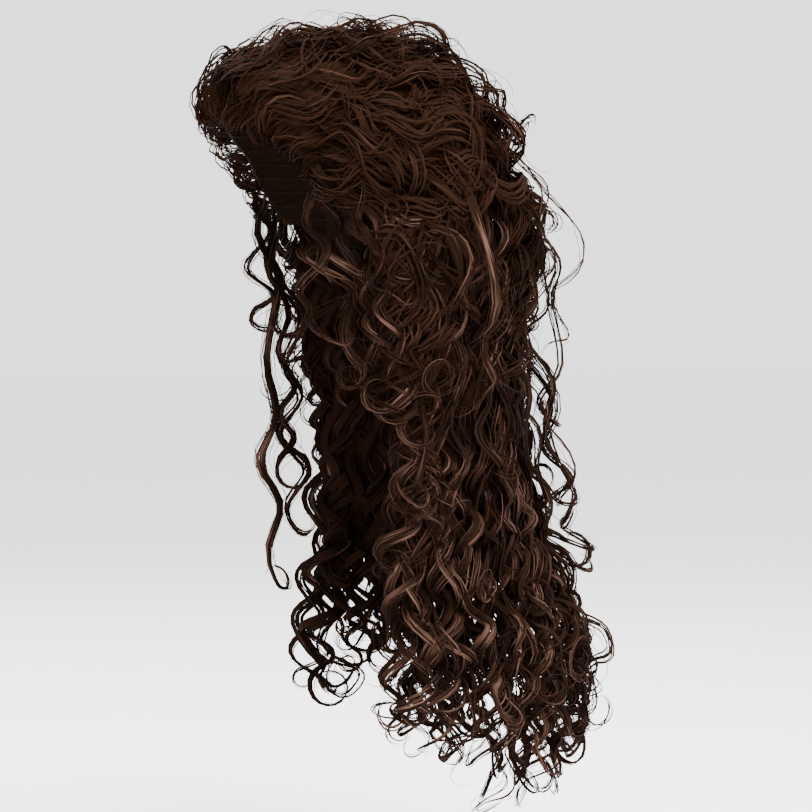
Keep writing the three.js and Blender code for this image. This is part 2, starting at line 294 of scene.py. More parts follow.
@dataclass(frozen=True)
class FallForm:
    """The falling hair as a curtain round the neck and the back, under a sloping parting plane."""

    sections: tuple[FallSection, ...] = FALL_SECTIONS
    centre: float = 0.025
    parting_drop: float = 0.073
    parting_slope: float = 0.245
    parting_depth: float = 0.5
    parting_level: float = 0.09

    def column(self, name: str, drop: Values) -> Array:
        """One of the sections' sizes at a drop below the crown."""
        rows = [getattr(section, name) for section in self.sections]
        return np.interp(drop, [section.drop for section in self.sections], rows)

    def point(self, angle: Values, depth: Values, drop: Values) -> Array:
        """Points of the falling hair.

        Args:
            angle: angle round from the back, positive to the wearer's left.
            depth: 0 at the inside of the fall and 1 at its outside.
            drop: distance below the crown.

        Returns:
            Points, one a row.
        """
        angle, depth, drop = np.broadcast_arrays(np.radians(angle), depth, drop)
        inner, outer = self.column("inner_width", drop), self.column("width", drop)
        inner_back, outer_back = self.column("inner_back", drop), self.column("back", drop)
        width = inner + depth * (outer - inner)
        back = inner_back + depth * (outer_back - inner_back) - self.centre
        return np.stack((width * np.sin(angle), self.centre + back * np.cos(angle), -drop), axis=-1)

    def parting(self, angle: float) -> float:
        """Drop of the parting plane at an angle."""
        point = self.point(angle, self.parting_depth, self.parting_level)
        return self.parting_drop + self.parting_slope * float(point[1])


HEAD = HeadForm()
CROWN = CrownForm()
FALL = FallForm()


@dataclass(frozen=True)
class Bounds:
    """The room that the hair keeps to, and the share of a path that gives way to it."""

    low: Point = (-0.126, -0.108, -0.588)
    high: Point = (0.126, 0.221, 0.052)
    give: float = 0.5

    def held(self, points: Array) -> Array:
        """A path drawn back into the room, its root left in place.

        Args:
            points: the path's points, one a row.

        Returns:
            The moved points.
        """
        over = np.maximum(points - np.array(self.high), 0.0).max(axis=0)
        under = np.maximum(np.array(self.low) - points, 0.0).max(axis=0)
        along = distances(points)
        return points + (under - over) * smoothstep(0.0, self.give, along / along[-1])[:, None]


@dataclass(frozen=True)
class Wave:
    """The curl that the fibres are set in, along a lock and at its end.

    Attributes:
        length: length of a wave, and end_length the same at the tip.
        root_height: how far it swings at the root, height along the lock and end_height at the tip.
        roundness: its swing outwards as a share of that sideways, and end_roundness at the tip.
        settle: distance from the root at which the full height is reached.
        end_from: share of the lock at which the end's sizes set in.
        drift: how far a slow wander goes, drift_length its length and drift_settle where it is full.
        relief: how much lighter the fibres are painted where the wave stands out, and darker where it
            sinks, as painted highlight and shade.
        height_vary: how far heights differ from lock to lock, and rate_vary and drift_vary lengths.
        lag: how far a wave falls behind and catches up, in turns, and lag_length over what length.
        drift_out: the wander's share outwards, and drift_out_rate its rate there.
    """

    length: float = 0.068
    end_length: float = 0.052
    root_height: float = 0.0015
    height: float = 0.0079
    end_height: float = 0.0120
    roundness: float = 0.55
    end_roundness: float = 0.95
    settle: float = 0.10
    end_from: float = 0.64
    drift: float = 0.006
    drift_length: float = 0.19
    drift_settle: float = 0.1
    relief: float = 1.0
    height_vary: float = 0.3
    rate_vary: float = 0.18
    drift_vary: float = 0.3
    lag: float = 0.12
    lag_length: float = 0.21
    drift_out: float = 0.5
    drift_out_rate: float = 1.3
    bows: Row = (-1.0, 1.0, 1.0)


@dataclass(frozen=True)
class Hook:
    """The ring that a lock's tip curls into.

    Attributes:
        radius: its radius at the start, and shrink the share of it that is lost by the tip.
        turn: how far it turns.
        lean: how far it leaves its own plane.
        outward: least and largest share of its turn that goes outwards.
        vary: how far the radius and the turn differ from lock to lock.
    """

    radius: float = 0.0140
    shrink: float = 0.35
    turn: float = 400.0
    lean: float = 0.012
    outward: Range = (-0.6, 1.2)
    vary: float = 0.4


@dataclass(frozen=True)
class Taper:
    """How a lock's breadth and its fibres' girth change along it, by shares of its length.

    Attributes:
        root_breadth: share of the breadth at the root, and broad_by where it is full.
        narrowing: least and largest loss of breadth, and narrows where it starts and ends.
        root_girth: share of the girth at the root, and full_by where it is full.
        thinning: loss of girth, and thins where it starts and ends.
    """

    root_breadth: float = 0.7
    broad_by: float = 0.2
    narrowing: Range = (0.5, 0.85)
    narrows: Range = (0.55, 0.92)
    root_girth: float = 0.12
    full_by: float = 0.1
    thinning: float = 0.42
    thins: Range = (0.6, 0.95)

    def breadth(self, share: Array, narrowing: float) -> Array:
        """Breadth along a lock that loses a share of it towards its tip."""
        settled = risen(self.root_breadth, self.broad_by, share)
        return settled * (1.0 - narrowing * smoothstep(*self.narrows, share))

    def girth(self, share: Array) -> Array:
        """Girth of the fibres along a lock."""
        settled = risen(self.root_girth, self.full_by, share)
        return settled * (1.0 - self.thinning * smoothstep(*self.thins, share))


@dataclass
class Guide:
    """A lock's middle line, with what its strands read at each point."""

    points: Array
    outward: Array
    sway: Array
    crest: Array
    spread: Array
    girth: Array
    tone: float


@dataclass
class GuideMaker:
    """Turns a few knots into a waved and hooked guide.

    Attributes:
        fine: distance between points while a guide is worked out.
        step: longest distance between a guide's points, and turn their largest turn, in radians.
        gap: distance that a guide keeps from the head, and gap_from how far from the root it does.
        phase_spread: how far a wave's start strays from the one asked for, in turns.
        sway_fades: shares of a lock between which its strands stop swaying apart.
        face_pull: how strongly a lock's flat side keeps facing outwards.
    """

    rng: np.random.Generator
    room: Bounds = Bounds()
    taper: Taper = Taper()
    fine: float = 0.002
    step: float = 0.016
    turn: float = 0.42
    fewest: int = 6
    gap: float = 0.005
    gap_from: float = 0.03
    phase_spread: float = 0.25
    sway_fades: Range = (0.6, 1.0)
    ring_crest: float = 0.6
    face_pull: float = 0.2
    spread_vary: float = 0.2
    jitter: Range = (0.1, 0.9)

    def vary(self, share: float) -> float:
        """A factor about 1."""
        return float(1.0 + share * self.rng.uniform(-1.0, 1.0))

    def place(self, number: int, count: int, low: float = 0.0, high: float = 1.0) -> float:
        """A place from low to high, within the stretch of one lock out of several."""
        return low + (high - low) * float((number + self.rng.uniform(*self.jitter)) / count)

    def guide(
        self,
        knots: Array,
        wave: Wave,
        hook: Hook | None,
        spread: float,
        tone: float = 1.0,
        phase: float | None = None,
    ) -> Guide:
        """Makes a guide.

        Args:
            knots: points of the lock's plain path, from root to tip.
            wave: the curl of the fibres.
            hook: the ring at the tip, if it has one.
            spread: the lock's half breadth.
            tone: how light its fibres may be; the falls and the crown give a lock's depth here, so deeper
                locks are painted darker as shade.
            phase: where in its turn the wave starts, or nothing for anywhere.

        Returns:
            The guide, with its points closer where it bends more.
        """
        base = smooth_path(np.asarray(knots), self.fine)
        along = distances(base)
        tangent = unit(np.gradient(base, axis=0))
        outward = HEAD.outward(base)
        sideways = unit(np.cross(tangent, outward))
        outward = unit(np.cross(sideways, tangent))
        if phase is None:
            phase = self.rng.uniform()
        phase += self.rng.normal(0.0, self.phase_spread)
        sway, crest = self._sway(along, sideways, outward, wave, phase)
        points = base + sway
        sway = sway * (1.0 - smoothstep(*self.sway_fades, along / along[-1]))[:, None]
        if hook:
            ring, faces = self._ring(points, outward, hook)
            points = np.vstack((points, ring))
            outward = np.vstack((outward, faces))
            sway = np.vstack((sway, np.zeros_like(ring)))
            # The curl's crest eases to a set share, which sets its painted highlight.
            crest = np.concatenate((crest, np.linspace(crest[-1], self.ring_crest, len(ring))))
        points = self.room.held(points)
        points = HEAD.cleared(points, self.gap * smoothstep(0.0, self.gap_from, distances(points)))
        rows = np.column_stack((points, self._faces(points, outward), sway, crest))
        return self._spaced(rows, spread * self.vary(self.spread_vary), tone * self.rng.uniform())

    def _sway(
        self, along: Array, sideways: Array, outward: Array, wave: Wave, phase: float
    ) -> tuple[Array, Array]:
        """The wave and the slow wander of a path.

        Args:
            along: path length at each point.
            sideways: directions across the path, one a row.
            outward: directions away from the head, one a row.
            wave: the curl of the fibres.
            phase: where in its turn the wave starts.

        Returns:
            Offsets, one a row, and 1 where the wave stands out, which the fibres show as a painted
            highlight.
        """
        rng = self.rng
        end = smoothstep(wave.end_from, 1.0, along / along[-1])
        settled = smoothstep(0.0, wave.settle, along)
        height = wave.root_height + (wave.height - wave.root_height) * settled
        height = (height + (wave.end_height - height) * end) * self.vary(wave.height_vary)
        roundness = wave.roundness + (wave.end_roundness - wave.roundness) * end
        rate = 1.0 / (wave.length + (wave.end_length - wave.length) * end)
        turns = running(rate[1:] * np.diff(along)) * self.vary(wave.rate_vary) + phase
        turns = turns + wave.lag * np.sin(TURN * (along / wave.lag_length + rng.uniform()))
        slow = along / (wave.drift_length * self.vary(wave.drift_vary))
        drift = wave.drift * smoothstep(0.0, wave.drift_settle, along)
        across = height * np.sin(TURN * turns) + drift * np.sin(TURN * (slow + rng.uniform()))
        bow = rng.choice(wave.bows) * np.cos(TURN * turns)
        wander = wave.drift_out * drift * np.sin(TURN * (slow * wave.drift_out_rate + rng.uniform()))
        out = roundness * height * bow + wander
        # The second result is the crest, which paints fibres lighter on the wave's crests and darker in
        # its troughs.
        return sideways * across[:, None] + outward * out[:, None], 0.5 + 0.5 * wave.relief * bow

    def _ring(self, points: Array, outward: Array, hook: Hook) -> tuple[Array, Array]:
        """The curl at a path's end.

        Args:
            points: the path's points, one a row.
            outward: directions away from the head, one a row.
            hook: the curl's sizes.

        Returns:
            The curl's points and the way its strands face, one a row.
        """
        rng = self.rng
        tangent = unit(points[-1] - points[-4])
        side = unit(np.cross(tangent, outward[-1]))
        aim = rng.uniform(*hook.outward) * outward[-1] + rng.choice((-1.0, 1.0)) * side
        aim = unit(aim - tangent * np.dot(aim, tangent))
        axis = np.cross(tangent, aim)
        radius = hook.radius * self.vary(hook.vary)
        turn = math.radians(hook.turn * self.vary(hook.vary))
        count = max(FEWEST_POINTS, int(radius * turn / self.fine))
        theta = np.linspace(0.0, turn, count + 1)[1:]
        size = radius * (1.0 - hook.shrink * theta / turn)
        lean = hook.lean * rng.uniform(-1.0, 1.0) * theta / turn
        forward = (size * np.sin(theta))[:, None] * tangent
        round_back = (radius - size * np.cos(theta))[:, None] * aim
        faces = np.tile(unit(axis + outward[-1]), (count, 1))
        return points[-1] + (forward + round_back) + lean[:, None] * axis, faces

    def _faces(self, points: Array, outward: Array) -> Array:
        """Directions square to the path that turn slowly and keep near the outward ones.

        Args:
            points: the path's points, one a row.
            outward: directions away from the head, one a row.

        Returns:
            Unit vectors, one a row.
        """
        tangent = unit(np.gradient(points, axis=0))
        faces = np.empty_like(points)
        last = outward[0]
        for k, (forward, aim) in enumerate(zip(tangent, outward)):
            last = last + self.face_pull * aim
            last = unit(last - forward * np.dot(last, forward))
            faces[k] = last
        return faces

    def _spaced(self, rows: Array, spread: float, tone: float) -> Guide:
        """Spaces a guide's points by its bends and gives it its breadth along.

        Args:
            rows: points, faces, sways and crests, one a row.
            spread: the lock's half breadth.
            tone: how light its fibres may be, so deeper locks are painted darker as shade.

        Returns:
            The guide.
        """
        points = rows[:, :3]
        along = distances(points)
        tangent = unit(np.gradient(points, axis=0))
        bend = np.arccos(np.clip((tangent[1:] * tangent[:-1]).sum(axis=1), -1.0, 1.0))
        effort = running(np.maximum(np.diff(along) / self.step, bend / self.turn))
        count = max(self.fewest, int(effort[-1]) + 2)
        places = np.interp(np.linspace(0.0, effort[-1], count), effort, along)
        share = places / places[-1]
        narrowing = self.rng.uniform(*self.taper.narrowing)
        rows = resampled(rows, along, places)
        return Guide(
            points=rows[:, :3],
            outward=unit(rows[:, 3:6]),
            sway=rows[:, 6:9],
            crest=rows[:, 9],
            spread=spread * self.taper.breadth(share, narrowing),
            girth=self.taper.girth(share),
            tone=tone,
        )


class Field:
    """A node's output that takes part in Python arithmetic by adding Math nodes."""

    def __init__(self, nodes: "Nodes", socket: bpy.types.NodeSocket) -> None:
        """Wraps an output socket of a tree."""
        self.nodes = nodes
        self.socket = socket

    def math(self, operation: str, *others: "Field | float", first: bool = True) -> "Field":
        """Adds one Math node.

        Args:
            operation: the Math node's operation.
            others: its other values.
            first: whether this value comes before the others.

        Returns:
            The node's result.
        """
        values = [self, *others] if first else [*others, self]
        node = self.nodes.add("ShaderNodeMath", {"operation": operation}, dict(enumerate(values)))
        return Field(self.nodes, node.outputs[0])

    def __add__(self, other: "Field | float") -> "Field":
        """Sum."""
        return self.math("ADD", other)

    __radd__ = __add__

    def __sub__(self, other: "Field | float") -> "Field":
        """Difference."""
        return self.math("SUBTRACT", other)

    def __rsub__(self, other: float) -> "Field":
        """Difference from a number."""
        return self.math("SUBTRACT", other, first=False)

    def __mul__(self, other: "Field | float") -> "Field":
        """Product."""
        return self.math("MULTIPLY", other)

    __rmul__ = __mul__

    def __truediv__(self, other: "Field | float") -> "Field":
        """Quotient."""
        return self.math("DIVIDE", other)

    def __rtruediv__(self, other: float) -> "Field":
        """A number divided by this value."""
        return self.math("DIVIDE", other, first=False)

    def __pow__(self, other: float) -> "Field":
        """Power."""
        return self.math("POWER", other)

    def clamped(self) -> "Field":
        """The value held between 0 and 1."""
        return self.math("MAXIMUM", 0.0).math("MINIMUM", 1.0)


class Nodes:
    """Adds nodes to a shader or geometry tree."""

    def __init__(self, tree: bpy.types.NodeTree) -> None:
        """Starts from an empty tree."""
        self.tree = tree
        tree.nodes.clear()

    def add(self, kind: str, settings: dict | None = None, inputs: dict | None = None) -> bpy.types.Node:
        """Adds a node.

        Args:
            kind: the node's type.
            settings: its own settings, which are set first.
            inputs: values, fields or sockets for its inputs, by name, identifier or place.

        Returns:
            The node.
        """
        node = self.tree.nodes.new(kind)
        for name, value in (settings or {}).items():
            setattr(node, name, value)
        for key, value in (inputs or {}).items():
            self._feed(self._input(node, key), value)
        return node

    def field(self, kind: str, settings: dict | None = None, inputs: dict | None = None) -> Field:
        """Adds a node and gives its first shown output as a field."""
        node = self.add(kind, settings, inputs)
        return Field(self, next(socket for socket in node.outputs if socket.enabled))

    def vector(self, operation: str, first: Any, second: Any = None, scale: Any = None) -> Field:
        """Adds a Vector Math node.

        Args:
            operation: the node's operation.
            first: its first vector.
            second: its second vector, if it has one.
            scale: its factor, if it has one.

        Returns:
            The resulting vector.
        """
        inputs = {0: first}
        if second is not None:
            inputs[1] = second
        if scale is not None:
            inputs["Scale"] = scale
        return self.field("ShaderNodeVectorMath", {"operation": operation}, inputs)

    def place(self, x: Any, y: Any, z: Any) -> Field:
        """A vector of three values."""
        return self.field("ShaderNodeCombineXYZ", None, {"X": x, "Y": y, "Z": z})

    def noise(self, place: Field, detail: float, roughness: float = 0.5) -> Field:
        """Noise from 0 to 1 at a place whose units are its grains."""
        inputs = {"Vector": place, "Scale": 1.0, "Detail": detail, "Roughness": roughness}
        return self.field("ShaderNodeTexNoise", None, inputs)

    def colours(self, factor: Field, low: Any, high: Any) -> Field:
        """Mixes two colours, or fields of colours, by a factor from 0 to 1."""
        inputs = {"Factor_Float": factor, "A_Color": low, "B_Color": high}
        return self.field("ShaderNodeMix", {"data_type": "RGBA"}, inputs)

    def surface(self, inputs: dict) -> None:
        """Ends a material in a Principled shader with the given inputs."""
        shader = self.add("ShaderNodeBsdfPrincipled", None, inputs)
        self.add("ShaderNodeOutputMaterial", None, {"Surface": shader.outputs[0]})

    @staticmethod
    def _input(node: bpy.types.Node, key: str | int) -> bpy.types.NodeSocket:
        """Finds an input.

        Args:
            node: the node.
            key: the input's place, identifier or name.

        Returns:
            The input's socket.
        """
        if isinstance(key, int):
            return node.inputs[key]
        return next(s for s in node.inputs if s.enabled and key in (s.identifier, s.name))

    def _feed(self, socket: bpy.types.NodeSocket, value: Any) -> None:
        """Links or sets an input.

        Args:
            socket: the input.
            value: a field or a socket to link, or the value to set.
        """
        if isinstance(value, Field):
            value = value.socket
        if isinstance(value, bpy.types.NodeSocket):
            self.tree.links.new(value, socket)
        else:
            socket.default_value = value


def new_material(name: str) -> tuple[bpy.types.Material, Nodes]:
    """A material whose tree is still empty.

    Args:
        name: the material's name.

    Returns:
        The material and the maker of its nodes.
    """
    material = bpy.data.materials.new(name)
    material.use_nodes = True
    return material, Nodes(material.node_tree)


def opaque(colour: Colour, brightness: float = 1.0) -> tuple[float, float, float, float]:
    """A colour at a brightness, with its alpha."""
    return (*(channel * brightness for channel in colour), 1.0)


@dataclass(frozen=True)
class HairFinish:
    """Dark brown fibre with a satin sheen, mostly a painted highlight, lighter and redder from strand to
    strand.

    Attributes:
        shadow: painted shade at a lock's edges and gaps, also its darkest fibres; middle that of its
            fibres and light that of their painted highlight.
        sheen_tint: colour of the reflections, and sheen_level their strength.
        roughness: least roughness of the fibres, and roughness_range what noise adds to it.
        fibres_across: fibres across half a strand, and fibres_along their grains to a metre.
        fibre_detail: detail of their noise, fibre_fineness its fine share, fibre_shift its range.
        patches_across: the same for broader patches of painted sheen, with patches_along and patch_shift.
        streak_contrast: how strongly fibres differ, about streak_level.
        streak_crest: what a wave's crest adds to that, so that its troughs are painted darker as shade,
            and streak_tone what the strand's tone adds.
        glow_contrast: the same for the painted sheen, with glow_level, glow_crest and glow_tone.
        edge_start: how far in the painted shade at a strand's edges reaches, and edge_shade how dark it
            is.
    """

    name: str = "waved hair"
    shadow: Colour = (0.0090, 0.0045, 0.0027)
    middle: Colour = (0.0088, 0.0038, 0.0023)
    light: Colour = (0.0905, 0.0475, 0.0340)
    sheen_tint: Colour = (1.0, 0.72, 0.56)
    sheen_level: float = 0.010
    roughness: float = 0.42
    roughness_range: float = 0.24
    fibres_across: float = 1.7
    fibres_along: float = 8.0
    fibre_detail: float = 3.0
    fibre_fineness: float = 0.65
    fibre_shift: float = 91.0
    patches_across: float = 0.6
    patches_along: float = 24.0
    patch_shift: float = 53.0
    streak_contrast: float = 4.2
    streak_level: float = -2.2
    streak_crest: float = 0.5
    streak_tone: float = 0.9
    glow_contrast: float = 3.2
    glow_level: float = -1.11
    glow_crest: float = 0.75
    glow_tone: float = 0.85
    edge_start: float = 1.3
    edge_shade: float = 1.0
    bump: float = 0.4
    bump_depth: float = 0.0005

    def material(self, layer: Layer) -> bpy.types.Material:
        """Makes the material of a layer, from the strands' own attributes.

        Args:
            layer: which hair it is for.

        Returns:
            The material.
        """
        material, nodes = new_material(f"{self.name} {layer.name.lower()}")
        names = ("tone", "across", "along", "crest")
        tone, across, along, crest = (self._attribute(nodes, name) for name in names)
        grain = (across * self.fibres_across, along * self.fibres_along, tone * self.fibre_shift)
        fibre = nodes.noise(nodes.place(*grain), self.fibre_detail, self.fibre_fineness)
        area = (across * self.patches_across, along * self.patches_along, tone * self.patch_shift)
        patch = nodes.noise(nodes.place(*area), 1.0)
        # The layer scales all three colours, as painted shade under the locks and painted light through
        # single strands.
        shadow, middle, light = (opaque(c, layer.value) for c in (self.shadow, self.middle, self.light))
        # Fibres mix from shadow to middle by their noise; a wave's crest and the lock's tone add painted
        # highlight and shade.
        streak = fibre * self.streak_contrast + self.streak_level
        streak = streak + crest * self.streak_crest + tone * self.streak_tone
        base = nodes.colours(streak.clamped(), shadow, middle)
        # Painted sheen: the light colour is laid over the fibres where noise, crests and tone allow, as a
        # painted highlight.
        painted_sheen = (fibre + patch - 1.0) * self.glow_contrast + self.glow_level
        painted_sheen = painted_sheen + crest * self.glow_crest + tone * self.glow_tone
        with_painted_sheen = nodes.colours(painted_sheen.clamped(), base, light)
        # Painted shade: each strand darkens towards its edges, unevenly by fibre.
        inside = self.edge_start - across * across * (self.edge_shade - fibre)
        relief = {"Strength": self.bump, "Distance": self.bump_depth, "Height": fibre}
        nodes.surface(
            {
                "Base Color": nodes.colours(inside.clamped(), shadow, with_painted_sheen),
                "Roughness": fibre * self.roughness_range + self.roughness,
                "Normal": nodes.field("ShaderNodeBump", None, relief),
                "Specular IOR Level": 0.0 if layer is Layer.UNDER else self.sheen_level,
                "Specular Tint": opaque(self.sheen_tint),
            }
        )
        return material

    @staticmethod
    def _attribute(nodes: Nodes, name: str) -> Field:
        """A number stored on the mesh."""
        node = nodes.add("ShaderNodeAttribute", {"attribute_name": name})
        return Field(nodes, node.outputs["Fac"])


WAVED = HairFinish()
COMBED = HairFinish(
    name="combed hair",
    shadow=(0.0105, 0.0047, 0.0027),
    middle=(0.0125, 0.0055, 0.0032),
    light=(0.0400, 0.0188, 0.0122),
    fibres_across=2.8,
    glow_contrast=4.4,
    glow_level=-1.45,
    sheen_level=0.006,
    edge_shade=0.7,
)
# The crown's shell is painted lighter than the combed locks, as fill light in the gaps between them.
CLOSE = replace(
    COMBED, name="close hair", shadow=(0.0165, 0.0076, 0.0043), middle=(0.0190, 0.0087, 0.0050)
)


@dataclass(frozen=True)
class NetFinish:
    """The cap's dark elastic net, crossed by rows of weft.

    Attributes:
        thread: the net's colour, and gap that of its holes.
        pitch: distance between threads, and slant how far they lean.
        weft_pitch: distance between rows of weft, and weft_sharpness how narrow they are.
    """

    thread: Colour = (0.0120, 0.0062, 0.0038)
    gap: Colour = (0.0030, 0.0017, 0.0011)
    pitch: float = 0.0016
    slant: float = 0.5
    weft_pitch: float = 0.011
    weft_sharpness: float = 6.0
    roughness: float = 0.82
    sheen_level: float = 0.05
    bump: float = 0.6
    bump_depth: float = 0.0008

    def material(self) -> bpy.types.Material:
        """Makes the material, on Object coordinates.

        Returns:
            The material.
        """
        material, nodes = new_material("cap net")
        place = nodes.add("ShaderNodeTexCoord").outputs["Object"]
        split = nodes.add("ShaderNodeSeparateXYZ", None, {"Vector": place})
        x, y, z = (Field(nodes, split.outputs[k]) for k in range(3))
        slope = (x + y) * (TURN / self.pitch)
        rise = (z + x * self.slant - y * self.slant) * (TURN / self.pitch)
        net = slope.math("SINE").math("MAXIMUM", rise.math("SINE"))
        rows = (z * (TURN / self.weft_pitch)).math("SINE")
        weft = rows.math("MAXIMUM", 0.0) ** self.weft_sharpness
        cover = (net * 0.5 + 0.5).math("MAXIMUM", weft)
        relief = {"Strength": self.bump, "Distance": self.bump_depth, "Height": cover + weft}
        nodes.surface(
            {
                "Base Color": nodes.colours(cover, opaque(self.gap), opaque(self.thread)),
                "Roughness": self.roughness,
                "Normal": nodes.field("ShaderNodeBump", None, relief),
                "Specular IOR Level": self.sheen_level,
            }
        )
        return material


@dataclass(frozen=True)
class StrandStyle:
    """How Geometry Nodes dress a guide with copies of itself.

    Attributes:
        count: copies of each guide.
        width: a copy's half width, and flatness its thickness as a share of that.
        spread: how far the copies spread, as a share of the guide's half breadth.
        twist: turns that a copy makes about the guide.
        frizz: how far noise moves a copy.
        sway: how much the wave's height differs between copies.
        stray: how far a copy's tip leaves the others.
        shorten: largest share of a copy that is cut off.
        tilt: how far a copy turns about itself, in radians.
    """

    count: int
    width: float
    flatness: float
    spread: float = 0.9
    twist: float = 0.4
    frizz: float = 0.0012
    sway: float = 0.5
    stray: float = 0.008
    shorten: float = 0.1
    tilt: float = 1.0


@dataclass(frozen=True)
class Dressing:
    """The finish of a piece's hair, the styles of its strands, and how many curls are full locks.

    Attributes:
        locks: the style of flat locks, tresses that of slim ones and strands that of single ones.
        full_curls: 1 for every loose curl, 2 for every second one, and so on.
    """

    finish: HairFinish
    locks: StrandStyle
    tresses: StrandStyle
    strands: StrandStyle
    full_curls: int = 2


INNER = StrandStyle(6, 0.0028, 0.2, stray=0.003)
FALL_DRESSING = Dressing(
    WAVED,
    StrandStyle(4, 0.0017, 0.3, 1.0, frizz=0.0010, sway=0.45, stray=0.0015),
    StrandStyle(3, 0.0008, 0.5, 1.3, twist=0.7, frizz=0.0018, sway=0.6, stray=0.0025, tilt=2.0),
    StrandStyle(1, 0.00034, 1.0, 1.7, frizz=0.0045, sway=0.8, stray=0.0035, shorten=0.3, tilt=2.0),
)
CROWN_DRESSING = Dressing(
    COMBED,
    StrandStyle(7, 0.00125, 0.3, 1.3, twist=0.9, frizz=0.0042, sway=0.9, stray=0.004),
    StrandStyle(3, 0.0008, 0.5, 1.5, twist=1.1, frizz=0.0065, sway=1.2, stray=0.005, tilt=2.0),
    StrandStyle(1, 0.0003, 1.0, 1.9, twist=1.2, frizz=0.009, sway=1.4, shorten=0.3, tilt=2.0),
    full_curls=5,
)


def guide_mesh(name: str, guides: list[Guide]) -> bpy.types.Mesh:
    """Joins guides as polylines of one mesh.

    Args:
        name: the mesh's name.
        guides: the guides.

    Returns:
        A mesh of edges, with the guides' values as attributes of its points.
    """
    counts = [len(guide.points) for guide in guides]
    starts = np.concatenate(([0], np.cumsum(counts)[:-1]))

    def links(start: int, count: int) -> Array:
        """Edges of one polyline."""
        first = start + np.arange(count - 1)
        return np.stack((first, first + 1), axis=1)

    edges = np.vstack([links(start, count) for start, count in zip(starts, counts)])
    mesh = bpy.data.meshes.new(name)
    mesh.vertices.add(sum(counts))
    mesh.vertices.foreach_set("co", np.vstack([guide.points for guide in guides]).ravel())
    mesh.edges.add(len(edges))
    mesh.edges.foreach_set("vertices", edges.ravel().astype(np.int32))
    for key in ("outward", "sway"):
        rows = np.vstack([getattr(guide, key) for guide in guides])
        mesh.attributes.new(key, "FLOAT_VECTOR", "POINT").data.foreach_set("vector", rows.ravel())
    for key in ("crest", "spread", "girth"):
        rows = np.concatenate([getattr(guide, key) for guide in guides])
        mesh.attributes.new(key, "FLOAT", "POINT").data.foreach_set("value", rows)
    tones = np.repeat([guide.tone for guide in guides], counts)
    mesh.attributes.new("tone", "FLOAT", "POINT").data.foreach_set("value", tones)
    mesh.update()
    return mesh


